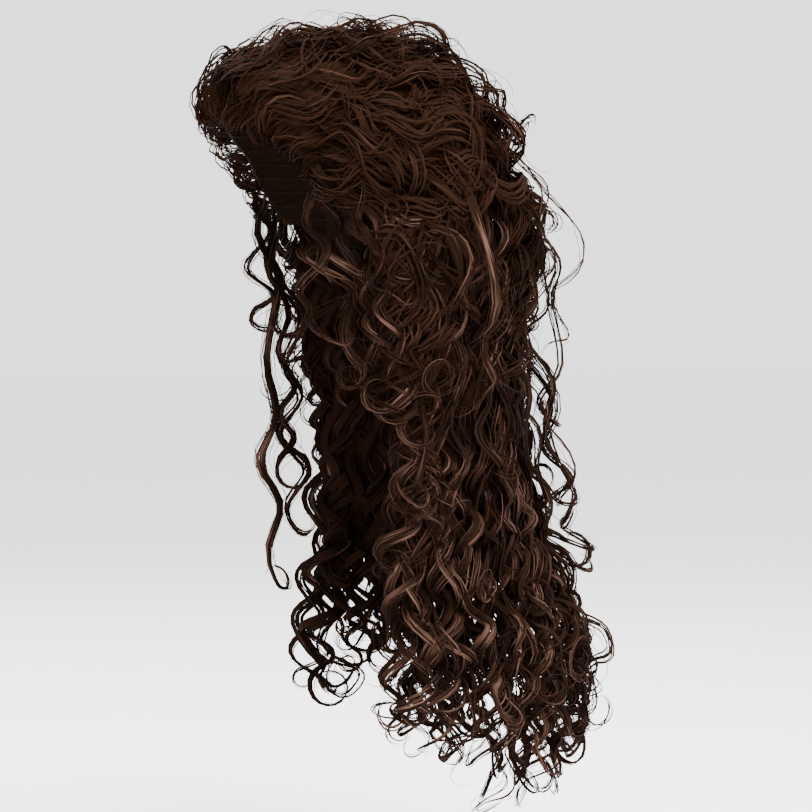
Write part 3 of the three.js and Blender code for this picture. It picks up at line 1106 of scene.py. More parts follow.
class StrandTree:
    """The Geometry Nodes that sweep flat locks or fine strands along guides."""

    SIZES = ("Width", "Flatness", "Spread", "Twist", "Frizz", "Sway", "Stray", "Shorten", "Tilt")
    INPUTS = {
        "Count": "NodeSocketInt",
        **dict.fromkeys(SIZES, "NodeSocketFloat"),
        "Seed": "NodeSocketInt",
        "Material": "NodeSocketMaterial",
    }
    NUMBER = {"data_type": "FLOAT"}
    ON_POINTS = {"data_type": "FLOAT", "domain": "POINT"}
    ON_CORNERS = {"data_type": "FLOAT2", "domain": "CORNER"}
    DEPTH = 0.55
    LOOSENING = 6.0
    FRIZZ_SCALE = 26.0
    FRIZZ_GAIN = 4.0
    STRAY_SCALE = 8.0
    STRAY_GAIN = 5.0
    NOISE_RANGE = 40.0
    OWN_TONE = 0.25
    TILT_GAIN = 2.0
    MAP_FILL = 0.42
    CORNERS = 3
    CORNER = math.sqrt(3.0) / 2.0
    TAPER = 14.0
    TIP = 0.15
    LEAST_GIRTH = 0.6
    GIRTH_RANGE = 0.8
    UNEVEN_SCALE = 38.0
    UNEVEN_SHIFT = 90.0
    LEAST_UNEVEN = 0.55
    UNEVEN_RANGE = 0.9
    EDGE = 0.9

    def __init__(self) -> None:
        """Builds the tree."""
        self.tree = bpy.data.node_groups.new("strands along guides", "GeometryNodeTree")
        face = self.tree.interface
        face.new_socket("Geometry", in_out="INPUT", socket_type="NodeSocketGeometry")
        self.identifiers = {
            name: face.new_socket(name, in_out="INPUT", socket_type=kind).identifier
            for name, kind in self.INPUTS.items()
        }
        face.new_socket("Geometry", in_out="OUTPUT", socket_type="NodeSocketGeometry")
        self.nodes = Nodes(self.tree)
        self.given = self.nodes.add("NodeGroupInput")
        self._build()

    def input(self, name: str) -> Field:
        """One of the tree's inputs."""
        return Field(self.nodes, self.given.outputs[name])

    def chance(self, draw: Draw) -> Field:
        """A random number from 0 to 1 for each strand."""
        limits = {"Min_001": 0.0, "Max_001": 1.0, "Seed": self.input("Seed") + float(draw.value)}
        return self.per_strand(self.nodes.field("FunctionNodeRandomValue", self.NUMBER, limits))

    def per_strand(self, value: Field) -> Field:
        """A field worked out once for each strand."""
        settings = {"domain": "CURVE", "data_type": "FLOAT"}
        return self.nodes.field("GeometryNodeFieldOnDomain", settings, {"Value": value})

    def stored(self, name: str, kind: str = "FLOAT") -> Field:
        """An attribute of the guides."""
        return self.nodes.field("GeometryNodeInputNamedAttribute", {"data_type": kind}, {"Name": name})

    def store(self, geometry: Field, name: str, value: Field) -> Field:
        """Keeps a number on every point."""
        inputs = {"Geometry": geometry, "Name": name, "Value": value}
        return self.nodes.field("GeometryNodeStoreNamedAttribute", self.ON_POINTS, inputs)

    def _build(self) -> None:
        """Links the tree from the guides to the dressed mesh."""
        nodes = self.nodes
        curves = nodes.field("GeometryNodeMeshToCurve", None, {"Mesh": self.given.outputs["Geometry"]})
        amount = {"Geometry": curves, "Amount": self.input("Count")}
        copies = nodes.add("GeometryNodeDuplicateElements", {"domain": "SPLINE"}, amount)
        strands = self._placed(Field(nodes, copies.outputs[0]))
        end = 1.0 - self.chance(Draw.SHORTEN) * self.input("Shorten")
        strands = nodes.field("GeometryNodeTrimCurve", {"mode": "FACTOR"}, {"Curve": strands, "End": end})
        mesh = self._shaded(self._mapped(self._swept(self._marked(strands))))
        mesh = nodes.field("GeometryNodeRealizeInstances", None, {"Geometry": mesh})
        coat = {"Geometry": mesh, "Material": self.input("Material")}
        mesh = nodes.field("GeometryNodeSetMaterial", None, coat)
        nodes.add("NodeGroupOutput", None, {"Geometry": mesh})

    def _placed(self, strands: Field) -> Field:
        """Spreads the copies of each guide about its middle line.

        Args:
            strands: the copies, all on their guides.

        Returns:
            The spread copies, with their flat sides outwards.
        """
        nodes = self.nodes
        share = nodes.field("GeometryNodeSplineParameter")
        twist = (self.chance(Draw.TWIST) - 0.5) * self.input("Twist") * share
        turn = (self.chance(Draw.TURN) + twist) * TURN
        radius = self.stored("spread") * self.input("Spread") * self.chance(Draw.RADIUS) ** 0.5
        outward = self.stored("outward", "FLOAT_VECTOR")
        across = nodes.vector("CROSS_PRODUCT", nodes.field("GeometryNodeInputTangent"), outward)
        offset = nodes.vector(
            "ADD",
            nodes.vector("SCALE", across, scale=turn.math("COSINE") * radius),
            nodes.vector("SCALE", outward, scale=turn.math("SINE") * radius * self.DEPTH),
        )
        more = (self.chance(Draw.SWAY) - 0.5) * self.input("Sway")
        sway = nodes.vector("SCALE", self.stored("sway", "FLOAT_VECTOR"), scale=more)
        loose = (share * self.LOOSENING).math("MINIMUM", 1.0)
        frizz = self.input("Frizz") * self.FRIZZ_GAIN * self.chance(Draw.FRIZZ) * loose
        frizz = self._shaken(Draw.FRIZZ_PLACE, self.FRIZZ_SCALE, frizz)
        stray = self.input("Stray") * self.STRAY_GAIN * share * share
        stray = self._shaken(Draw.STRAY_PLACE, self.STRAY_SCALE, stray)
        moved = nodes.vector("ADD", nodes.vector("ADD", offset, sway), nodes.vector("ADD", frizz, stray))
        placed = nodes.field("GeometryNodeSetPosition", None, {"Geometry": strands, "Offset": moved})
        facing = {"Curve": placed, "Normal": outward}
        return nodes.field("GeometryNodeSetCurveNormal", {"mode": "FREE"}, facing)

    def _shaken(self, draw: Draw, scale: float, size: Field) -> Field:
        """Offsets from noise that differs from strand to strand.

        Args:
            draw: the strand's random number to use.
            scale: the noise's scale.
            size: how far it moves a point.

        Returns:
            The offset.
        """
        inputs = {"W": self.chance(draw) * self.NOISE_RANGE, "Scale": scale, "Detail": 1.0}
        noise = self.nodes.add("ShaderNodeTexNoise", {"noise_dimensions": "4D"}, inputs)
        centred = self.nodes.vector("SUBTRACT", noise.outputs["Color"], (0.5, 0.5, 0.5))
        return self.nodes.vector("SCALE", centred, scale=size)

    def _marked(self, strands: Field) -> Field:
        """Stores each strand's tone, length and place in the bake map, and turns it about itself.

        Args:
            strands: the placed strands.

        Returns:
            The marked strands.
        """
        nodes = self.nodes
        parameter = nodes.add("GeometryNodeSplineParameter")
        share, length = (Field(nodes, parameter.outputs[name]) for name in ("Factor", "Length"))
        index = self.per_strand(nodes.field("GeometryNodeInputIndex"))
        size = nodes.add("GeometryNodeAttributeDomainSize", {"component": "CURVE"}, {"Geometry": strands})
        total = Field(nodes, size.outputs["Spline Count"]) + 0.0
        tone = self.stored("tone") * (1.0 - self.OWN_TONE) + self.chance(Draw.TONE) * self.OWN_TONE
        marks = {
            "tone": tone,
            "along": length,
            "map_u": (index + 0.5) / total,
            "map_v": share,
            "map_half": self.MAP_FILL / total,
        }
        for name, value in marks.items():
            strands = self.store(strands, name, value)
        gain = (self.chance(Draw.TILT_GAIN) - 0.5) * self.TILT_GAIN * share
        tilt = ((self.chance(Draw.TILT) - 0.5) + gain) * self.input("Tilt")
        return nodes.field("GeometryNodeSetCurveTilt", None, {"Curve": strands, "Tilt": tilt})

    def _swept(self, strands: Field) -> Field:
        """Sweeps a flat three-sided section along the strands.

        Args:
            strands: the marked strands.

        Returns:
            Their closed meshes.
        """
        nodes = self.nodes
        circle = {"Resolution": self.CORNERS, "Radius": 1.0}
        ring = nodes.field("GeometryNodeCurvePrimitiveCircle", {"mode": "RADIUS"}, circle)
        position = nodes.field("GeometryNodeInputPosition")
        where = nodes.add("ShaderNodeSeparateXYZ", None, {"Vector": position})
        ring = self.store(ring, "across", Field(nodes, where.outputs["Y"]) / self.CORNER)
        flat = nodes.place(self.input("Flatness"), 1.0, 1.0)
        ring = nodes.field("GeometryNodeTransform", None, {"Geometry": ring, "Scale": flat})
        share = nodes.field("GeometryNodeSplineParameter")
        taper = ((1.0 - share) * self.TAPER).math("MINIMUM", 1.0) * (1.0 - self.TIP) + self.TIP
        shift = self.chance(Draw.UNEVEN) * self.UNEVEN_SHIFT
        grain = nodes.place(self.stored("along") * self.UNEVEN_SCALE, shift, 0.0)
        uneven = nodes.noise(grain, 1.0) * self.UNEVEN_RANGE + self.LEAST_UNEVEN
        size = self.chance(Draw.GIRTH) * self.GIRTH_RANGE + self.LEAST_GIRTH
        girth = self.stored("girth") * self.input("Width") * size
        inputs = {"Curve": strands, "Profile Curve": ring, "Fill Caps": True}
        inputs["Scale"] = girth * taper * uneven
        return nodes.field("GeometryNodeCurveToMesh", None, inputs)

    def _mapped(self, mesh: Field) -> Field:
        """Lays every strand out as a strip of its own in the bake map.

        Args:
            mesh: the swept strands.

        Returns:
            The mesh with its map.
        """
        u = self.stored("map_u") + self.stored("across") * self.stored("map_half")
        place = self.nodes.place(u, self.stored("map_v"), 0.0)
        inputs = {"Geometry": mesh, "Name": "OFBake", "Value": place}
        return self.nodes.field("GeometryNodeStoreNamedAttribute", self.ON_CORNERS, inputs)

    def _shaded(self, mesh: Field) -> Field:
        """Shades the strands smooth, but for the two edges of a flat lock.

        Args:
            mesh: the swept strands.

        Returns:
            The shaded mesh.
        """
        nodes = self.nodes
        mesh = nodes.field("GeometryNodeSetShadeSmooth", {"domain": "FACE"}, {"Geometry": mesh})
        across = self.stored("across")
        above = {"data_type": "FLOAT", "operation": "GREATER_THAN"}
        edge = nodes.field("FunctionNodeCompare", above, {0: across * across, 1: self.EDGE})
        sharp = {"Geometry": mesh, "Selection": edge, "Shade Smooth": False}
        return nodes.field("GeometryNodeSetShadeSmooth", {"domain": "EDGE"}, sharp)

    def dress(
        self, name: str, guides: list[Guide], style: StrandStyle, seed: int, material: bpy.types.Material
    ) -> bpy.types.Object:
        """Dresses guides as one plain mesh.

        Args:
            name: the piece's name.
            guides: the guides that it follows.
            style: how many strands a guide gets, and their form.
            seed: the start of the tree's random numbers.
            material: the hair's material.

        Returns:
            The piece, at the origin.
        """
        carrier = shown(f"{name}_guides", guide_mesh(f"{name}_guides", guides))
        modifier = carrier.modifiers.new("strands", "NODES")
        modifier.node_group = self.tree
        values = {key.capitalize(): value for key, value in vars(style).items()}
        for key, value in {**values, "Seed": seed, "Material": material}.items():
            modifier[self.identifiers[key]] = value
        evaluated = carrier.evaluated_get(bpy.context.evaluated_depsgraph_get())
        mesh = bpy.data.meshes.new_from_object(evaluated)
        mesh.name = name
        bpy.data.objects.remove(carrier)
        return shown(name, mesh)


@dataclass(frozen=True)
class Shell:
    """A closed wall between two grids of points, for the hair under the locks; its colour is painted
    shade in the falls and painted fill light on the crown.

    Attributes:
        outer: the outside's points, rows by columns by 3, and inner the inside's.
        length: length that its fibres run over.
    """

    outer: Array
    inner: Array
    length: float = 0.5
    tone_step: float = 0.04

    def faces(self) -> Array:
        """The wall's faces, all outwards.

        Returns:
            Four corners a row.
        """
        rows, columns = self.outer.shape[:2]
        at = np.arange(rows * columns).reshape(rows, columns)
        under = at + rows * columns

        def cells(grid: Array) -> Array:
            """Faces of a grid."""
            corners = (grid[:-1, :-1], grid[1:, :-1], grid[1:, 1:], grid[:-1, 1:])
            return np.stack(corners, axis=-1).reshape(-1, 4)

        def strip(a: Array, b: Array) -> Array:
            """Faces between two edges."""
            return np.stack((a[:-1], a[1:], b[1:], b[:-1]), axis=-1)

        ends = (strip(at[0], under[0]), strip(under[-1], at[-1]))
        sides = (strip(under[:, 0], at[:, 0]), strip(at[:, -1], under[:, -1]))
        return np.concatenate((cells(at), cells(under)[:, ::-1], *ends, *sides))

    def build(self, name: str, material: bpy.types.Material) -> bpy.types.Object:
        """Builds the wall.

        Args:
            name: the piece's name.
            material: the hair's material.

        Returns:
            The piece, at the origin.
        """
        rows, columns = self.outer.shape[:2]
        points = np.concatenate((self.outer.reshape(-1, 3), self.inner.reshape(-1, 3)))
        faces = self.faces()
        mesh = bpy.data.meshes.new(name)
        mesh.from_pydata(points.tolist(), [], faces.tolist())
        mesh.polygons.foreach_set("use_smooth", np.ones(len(faces), dtype=bool))
        along = np.repeat(np.linspace(0.0, self.length, rows), columns)
        tone = np.tile(np.abs(self.tone_step * np.arange(columns) % 2.0 - 1.0), rows)
        for key, values in (("along", along), ("tone", tone)):
            both = np.concatenate((values, values))
            mesh.attributes.new(key, "FLOAT", "POINT").data.foreach_set("value", both)
        mesh.materials.append(material)
        return shown(name, mesh)


@dataclass
class HairSet:
    """What every hair piece shares: the strand tree, the materials and the count of triangles."""

    tree: StrandTree = field(default_factory=StrandTree)
    materials: dict[tuple[HairFinish, Layer], bpy.types.Material] = field(default_factory=dict)
    triangles: int = 0

    def material(self, finish: HairFinish, layer: Layer) -> bpy.types.Material:
        """The material of a finish for a layer, made once.

        Args:
            finish: the hair's finish.
            layer: which hair it is for.

        Returns:
            The material.
        """
        key = (finish, layer)
        if key not in self.materials:
            self.materials[key] = finish.material(layer)
        return self.materials[key]

    def seat(self, piece: bpy.types.Object, node: str) -> None:
        """Puts a piece in a solid's place and reports it.

        Args:
            piece: the hair piece.
            node: the solid that it stands for.
        """
        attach(piece, BODY)
        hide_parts(node)
        count = sum(len(face.vertices) - 2 for face in piece.data.polygons)
        self.triangles += count
        LOG.info("%s: %d triangles", piece.name, count)

    def cover(
        self,
        node: str,
        guides: list[Guide],
        curls: list[Guide],
        stray: list[Guide],
        dressing: Dressing,
        seed: int,
    ) -> None:
        """Grows locks, tresses and strands over a solid.

        Args:
            node: the solid that they stand for.
            guides: guides of full locks.
            curls: guides of slimmer curls.
            stray: guides of single strands.
            dressing: the strands' forms.
            seed: the start of the random numbers.
        """
        lock = self.material(dressing.finish, Layer.LOCK)
        strand = self.material(dressing.finish, Layer.STRAND)
        broad = guides + curls[:: dressing.full_curls]
        slim = guides + curls
        dress = self.tree.dress
        self.seat(dress(f"{node}_locks", broad, dressing.locks, seed, lock), node)
        self.seat(dress(f"{node}_tresses", slim, dressing.tresses, seed + SEED_STEP, lock), node)
        every = slim + stray
        self.seat(dress(f"{node}_strands", every, dressing.strands, seed + 2 * SEED_STEP, strand), node)


CROWN_WAVE = Wave(
    length=0.062, height=0.0074, end_height=0.011, drift=0.011, drift_length=0.13, relief=0.6
)
TOUSLED_WAVE = Wave(length=0.058, end_length=0.046, height=0.0075, end_height=0.010, settle=0.05)
CURL_WAVE = Wave(length=0.058, end_length=0.048, height=0.009, end_height=0.013, settle=0.06)
ARC_WAVE = Wave(length=0.085, end_length=0.060, height=0.010, end_height=0.013, settle=0.08)
DRAPE_WAVE = Wave(length=0.070, end_length=0.055, height=0.009, end_height=0.013, settle=0.12)
LOOP_WAVE = Wave(length=0.080, height=0.003, end_height=0.005, settle=0.05, drift=0.003)
CURL_HOOK = Hook(radius=0.013, turn=300.0)


@dataclass(frozen=True)
class LockSort:
    """A sort of lock: how many there are, their wave, the curl at their tips, half breadth and tone."""

    count: int
    wave: Wave = CURL_WAVE
    hook: Hook | None = CURL_HOOK
    spread: float = 0.0050
    tone: float = 1.0

    def knots(self, maker: GuideMaker, number: int) -> Array:
        """The plain path of one of the locks, from root to tip."""
        raise NotImplementedError

    def guides(self, maker: GuideMaker) -> list[Guide]:
        """One guide for each lock."""
        paths = (self.knots(maker, number) for number in range(self.count))
        return [maker.guide(path, self.wave, self.hook, self.spread, self.tone) for path in paths]


@dataclass(frozen=True)
class FrontLocks(LockSort):
    """Short locks that turn up and back from the hairline.

    Attributes:
        turn: how far their tips turn to a side, and turns the share of it at each knot.
        sweeps: how far behind its root each knot but the last lies, and reach the last one.
        heights: least and largest height of a lock, and rise the share of it at each knot.
    """

    wave: Wave = CROWN_WAVE
    hook: Hook | None = None
    spread: float = 0.0075
    widest: float = 74.0
    roots: Range = (-1.0, 3.0)
    turn: float = 9.0
    turns: Row = (0.0, 0.1, 0.3, 0.7, 1.0)
    sweeps: Row = (2.0, -3.0, 7.0, 22.0)
    reach: Range = (32.0, 46.0)
    heights: Range = (0.84, 1.02)
    rise: Row = (0.05, 0.55, 0.92, 1.0, 0.98)

    def knots(self, maker: GuideMaker, number: int) -> Array:
        """The path of a lock, up from the hairline and back.

        Args:
            maker: what makes the guides.
            number: the lock's place from side to side.

        Returns:
            Points from root to tip, one a row.
        """
        rng = maker.rng
        roll = self.widest * (2.0 * maker.place(number, self.count) - 1.0)
        start = CROWN.hairline(roll) + rng.uniform(*self.roots)
        rolls = roll + rng.uniform(-self.turn, self.turn) * np.array(self.turns)
        sweeps = start + np.array((*self.sweeps, rng.uniform(*self.reach)))
        return CROWN.point(rolls, sweeps, rng.uniform(*self.heights) * np.array(self.rise))


@dataclass(frozen=True)
class TousledCurls(LockSort):
    """Short curls that lie across the crown.

    Attributes:
        lift: height in the hair at the middle of a curl.
        widest: tilt of the outermost roots, and limit of the outermost tips.
        heading: how far their headings stray from straight back.
        radius: radius of the crown that they lie on.
        root_heights: height of the first knots, and heights that of the others as shares of the lift.
    """

    wave: Wave = TOUSLED_WAVE
    hook: Hook | None = Hook(radius=0.011, turn=280.0)
    spread: float = 0.006
    lift: float = 1.0
    widest: float = 66.0
    limit: float = 84.0
    roots: Range = (2.0, 62.0)
    heading: float = 42.0
    lengths: Range = (0.07, 0.15)
    radius: float = 0.15
    steps: Row = (0.0, 0.2, 0.5, 0.8, 1.0)
    root_heights: Row = (0.6, 0.9)
    heights: Row = (1.0, 1.02, 0.94)

    def knots(self, maker: GuideMaker, number: int) -> Array:
        """The path of a curl, from anywhere on the crown.

        Args:
            maker: what makes the guides.
            number: the curl's place among the others.

        Returns:
            Points from root to tip, one a row.
        """
        rng = maker.rng
        roll = rng.uniform(-self.widest, self.widest)
        sweep = CROWN.hairline(roll) + rng.uniform(*self.roots)
        heading = math.radians(rng.normal(0.0, self.heading))
        steps = np.array(self.steps) * math.degrees(rng.uniform(*self.lengths) / self.radius)
        rolls = roll + steps * math.sin(heading) / math.sin(math.radians(sweep))
        rolls = np.clip(rolls, -self.limit, self.limit)
        shares = (*self.root_heights, *(self.lift * height for height in self.heights))
        return CROWN.point(rolls, sweep + steps * math.cos(heading), shares)


@dataclass(frozen=True)
class CrownUnder:
    """The close hair of the crown: a ridged shell over the cap, thinner at the sides, painted lighter as
    fill light in the gaps between the locks.

    Attributes:
        first: how far behind the hairline it starts, and last the sweep at which it ends.
        rim: height of its outside at the hairline, and height what it gains behind it.
        side_loss: how much less that is at the sides, between the tilts side_rolls.
        ridge: height of its ridges, and ridge_turn their turn from column to column, in radians.
    """

    widest: float = 88.0
    columns: int = 101
    rows: int = 25
    first: float = 2.0
    last: float = 140.0
    inside: float = 0.06
    rim: float = 0.07
    height: float = 0.68
    side_loss: float = 0.42
    side_rolls: Range = (50.0, 84.0)
    rise: Range = (0.5, 7.0)
    ridge: float = 0.06
    ridge_turn: float = 1.6

    def shell(self) -> Shell:
        """The shell's points.

        Returns:
            The shell, with its rows from front to back.
        """
        rolls = np.linspace(-self.widest, self.widest, self.columns)
        starts = np.array([CROWN.hairline(roll) for roll in rolls])
        lengths = self.last - self.first - starts
        sweeps = starts + self.first + np.linspace(0.0, 1.0, self.rows)[:, None] * lengths
        ridges = self.ridge * np.sin(np.arange(self.columns) * self.ridge_turn)
        full = self.height - self.side_loss * smoothstep(*self.side_rolls, np.abs(rolls)) + ridges
        shares = self.rim + full * smoothstep(*self.rise, sweeps - starts)
        return Shell(CROWN.point(rolls, sweeps, shares), CROWN.point(rolls, sweeps, self.inside))


@dataclass
class CrownHair:
    """Hair swept up from the hairline and back over the head, with tousled curls on top.

    Attributes:
        shares: heights in the hair, taken in turn, and share_vary how far they differ.
        late_roots: how far behind the hairline every second lock starts.
        root_back: how far behind its start a lock's root lies, and root_height its height.
        front_lean: how far a lock at the hairline leans back as it rises, and late_lean any other.
        rise: how far behind that each knot of the rise lies, with its share of the height.
        over_sweeps: sweeps of the knots over the head, and over_gap their distance behind the start.
        fall_turn: angle of the fall to a degree of tilt, and fall_widest the largest.
        fall_drops: drops of the knots in the fall, and fall_gap their distance above the tip.
        fall_depth: depth in the fall, and fall_rise what a lock's height adds to it.
    """

    node: str = "crown_hair"
    seed: int = 11
    count: int = 64
    widest: float = 82.0
    shares: Row = (0.95, 0.74, 0.85)
    share_vary: float = 0.08
    late_roots: Range = (4.0, 34.0)
    tips: Range = (0.14, 0.25)
    root_back: float = 2.0
    root_height: float = 0.04
    front_lean: float = -4.0
    late_lean: float = 3.0
    rise: tuple[Range, ...] = ((0.0, 0.5), (9.0, 0.9))
    over_sweeps: Row = (72.0, 90.0, 108.0, 126.0)
    over_gap: float = 20.0
    fall_turn: float = 1.36
    fall_widest: float = 88.0
    fall_drops: Row = (0.115, 0.16, 0.21, 0.26)
    fall_gap: float = 0.02
    fall_depth: float = 0.55
    fall_rise: float = 0.42
    spread: float = 0.0075
    hook: Hook = Hook(radius=0.014, turn=260.0)
    front: FrontLocks = FrontLocks(28)
    curls: TousledCurls = TousledCurls(44)
    flyaways: TousledCurls = TousledCurls(28, lift=1.2)
    under: CrownUnder = CrownUnder()

    def guides(self, maker: GuideMaker) -> list[Guide]:
        """One guide for each lock over the head, from side to side.

        Args:
            maker: what makes the guides.

        Returns:
            The guides.
        """
        rng = maker.rng
        result = []
        for k in range(self.count):
            roll = self.widest * (2.0 * maker.place(k, self.count) - 1.0)
            share = self.shares[k % len(self.shares)] * maker.vary(self.share_vary)
            late = 0.0 if k % 2 == 0 else rng.uniform(*self.late_roots)
            knots = self.knots(roll, late, share, rng.uniform(*self.tips))
            # The lock's height in the hair is its tone, so lower locks are painted darker as shade.
            result.append(maker.guide(knots, CROWN_WAVE, self.hook, self.spread, share))
        return result

    def knots(self, roll: float, late: float, share: float, tip: float) -> Array:
        """The plain path of a lock.

        Args:
            roll: tilt from the middle of the head.
            late: how far behind the hairline the root lies.
            share: height in the hair.
            tip: drop of the tip.

        Returns:
            Points from the root, over the crown and down.
        """
        start = CROWN.hairline(roll) + late
        lean = start + (self.front_lean if late == 0.0 else self.late_lean)
        path = [(start + self.root_back, self.root_height)]
        path += [(lean + back, height * share) for back, height in self.rise]
        path += [(sweep, share) for sweep in self.over_sweeps if sweep > start + self.over_gap]
        over = [CROWN.point(roll, sweep, height) for sweep, height in path]
        angle = np.clip(roll * self.fall_turn, -self.fall_widest, self.fall_widest)
        depth = self.fall_depth + self.fall_rise * share
        drops = [drop for drop in self.fall_drops if drop < tip - self.fall_gap]
        down = [FALL.point(angle, depth, drop) for drop in (*drops, tip)]
        return np.vstack((*over, *down))

    def build(self, hair: HairSet) -> None:
        """Builds and seats the crown's pieces.

        Args:
            hair: what the hair pieces share.
        """
        maker = GuideMaker(np.random.default_rng(self.seed))
        guides = self.guides(maker)
        curls = self.curls.guides(maker) + self.front.guides(maker)
        stray = self.flyaways.guides(maker)
        # The shell takes the lighter close finish, as painted fill light between the locks.
        close = hair.material(CLOSE, Layer.UNDER)
        hair.seat(self.under.shell().build(f"{self.node}_under", close), self.node)
        hair.cover(self.node, guides, curls, stray, CROWN_DRESSING, self.seed)


@dataclass(frozen=True)
class TempleSweeps(LockSort):
    """Locks that start at a temple and go back over the ear.

    Attributes:
        backs: least and largest share of the full way back.
        over_sweeps: how far back each knot over the head lies, at the full way back.
        over_tilts: how far it tilts down, and steepest the way back at which it wouldn't.
        first_drop: least drop of the first hanging knot, and below its distance under the last one.
        steps: how far below that the knots but the last lie, and tips the drops of the last.
        angles: angle of each hanging knot, and turn_back how far it turns back.
    """

    wave: Wave = DRAPE_WAVE
    spread: float = 0.00368
    tone: float = 0.5
    hand: Hand = Hand.LEFT
    rolls: Range = (56.0, 88.0)
    roots: Range = (0.0, 4.0)
    heights: Range = (0.75, 0.98)
    backs: Range = (0.35, 1.0)
    over_sweeps: Row = (0.0, 7.0, 17.0)
    over_tilts: Row = (0.0, 4.0, 10.0)
    steepest: float = 1.6
    over_rise: Row = (0.05, 0.65, 1.0)
    first_drop: float = 0.14
    below: float = 0.05
    steps: Row = (0.0, 0.05, 0.11)
    tips: Range = (0.32, 0.42)
    angles: Row = (96.0, 89.0, 86.0, 84.0)
    turn_back: Row = (6.0, 0.0, 0.0, 0.0)

    def knots(self, maker: GuideMaker, number: int) -> Array:
        """The path of a lock, back from the temple and down behind the ear.

        Args:
            maker: what makes the guides.
            number: the lock's place from top to bottom.

        Returns:
            Points from root to tip, one a row.
        """
        rng, side = maker.rng, self.hand.value
        roll = maker.place(number, self.count, *self.rolls)
        start = CROWN.hairline(roll) + rng.uniform(*self.roots)
        share = rng.uniform(*self.heights)
        back = rng.uniform(*self.backs)
        tilts = roll + (self.steepest - back) * np.array(self.over_tilts)
        sweeps = start + back * np.array(self.over_sweeps)
        over = CROWN.point(side * tilts, sweeps, share * np.array(self.over_rise))
        first = max(self.first_drop, self.below - over[-1, 2])
        drops = (*(first + step for step in self.steps), rng.uniform(*self.tips))
        angles = np.array(self.angles) - back * np.array(self.turn_back)
        return np.vstack((over, FALL.point(side * angles, share, drops)))


@dataclass(frozen=True)
class Sideburns(LockSort):
    """Locks that fall over the cap's ear tab.

    Attributes:
        first_drop: how far below its root a lock starts to hang.
        steps: how far below that the knots but the last lie, and lengths the drops of the last.
        angles: angle of each hanging knot, and turn_back how far they may turn back.
        depths: least and largest depth of a lock, and rise the share of it at each knot.
    """

    spread: float = 0.0046
    tone: float = 0.6
    hand: Hand = Hand.LEFT
    rolls: Range = (72.0, 100.0)
    roots: Range = (1.0, 14.0)
    root_height: float = 0.05
    first_drop: float = 0.012
    steps: Row = (0.0, 0.02, 0.055)
    lengths: Range = (0.09, 0.16)
    angles: Row = (104.0, 103.0, 100.0, 96.0)
    turn_back: float = 9.0
    depths: Range = (0.75, 1.0)
    rise: Row = (0.3, 0.6, 0.95, 1.0)

    def knots(self, maker: GuideMaker, number: int) -> Array:
        """The path of a lock, down from above the ear.

        Args:
            maker: what makes the guides.
            number: the lock's place from top to bottom.

        Returns:
            Points from root to tip, one a row.
        """
        rng, side = maker.rng, self.hand.value
        roll = maker.place(number, self.count, *self.rolls)
        root = CROWN.point(side * roll, CROWN.hairline(roll) + rng.uniform(*self.roots), self.root_height)
        drops = self.first_drop - root[2] + np.array((*self.steps, rng.uniform(*self.lengths)))
        angles = np.array(self.angles) - rng.uniform(0.0, self.turn_back)
        depths = rng.uniform(*self.depths) * np.array(self.rise)
        return np.vstack((root, FALL.point(side * angles, depths, drops)))


@dataclass(frozen=True)
class EarLoops(LockSort):
    """Big loops that turn back, down and forward again over an ear.

    Attributes:
        backs: how far back their middles lie, and drops how far down.
        first_turn: where in its turn a loop starts, and last_turns where it ends.
        stretch: its height as a share of its length.
        reaches: least and largest share of the fall's width at which it lies.
        root_front: how far in front of its start the root lies, and root_rise how far above.
    """

    wave: Wave = LOOP_WAVE
    hook: Hook | None = None
    spread: float = 0.00598
    hand: Hand = Hand.LEFT
    radii: Range = (0.020, 0.036)
    backs: Range = (0.004, 0.055)
    drops: Range = (0.130, 0.190)
    first_turn: float = -100.0
    last_turns: Range = (90.0, 150.0)
    points: int = 8
    stretch: float = 1.25
    reaches: Range = (0.94, 1.06)
    root_side: float = 0.074
    root_front: float = 0.008
    root_rise: float = 0.014

    def knots(self, maker: GuideMaker, number: int) -> Array:
        """The path of a loop, round the ear.

        Args:
            maker: what makes the guides.
            number: the loop's place among the others.

        Returns:
            Points from root to tip, one a row.
        """
        rng, side = maker.rng, self.hand.value
        radius, back, drop = (rng.uniform(*sizes) for sizes in (self.radii, self.backs, self.drops))
        turn = np.radians(np.linspace(self.first_turn, rng.uniform(*self.last_turns), self.points))
        y = back + radius * np.cos(turn)
        drops = drop + self.stretch * radius * np.sin(turn)
        share = (y - FALL.centre) / (FALL.column("back", drops) - FALL.centre)
        x = rng.uniform(*self.reaches) * FALL.column("width", drops) * np.sqrt(1.0 - share * share)
        root = (side * self.root_side, y[0] - self.root_front, self.root_rise - drops[0])
        return np.vstack((root, np.column_stack((side * x, y, -drops))))


@dataclass(frozen=True)
class Span:
    """The breadth of a fall between two angles, the second of which follows its front on a side."""

    low: float
    high: float
    on_side: bool = False
    front_margin: float = 7.0

    def angle(self, share: Values, drop: Values) -> Array:
        """Angle at a share of the breadth.

        Args:
            share: 0 at the first edge and 1 at the second.
            drop: distance below the crown.

        Returns:
            The angle, for each share and drop.
        """
        if not self.on_side:
            return self.low + share * (self.high - self.low) + 0.0 * np.asarray(drop)
        edge = (FALL.column("front", drop) - self.front_margin) * np.sign(self.high)
        return self.low + share * (edge - self.low)


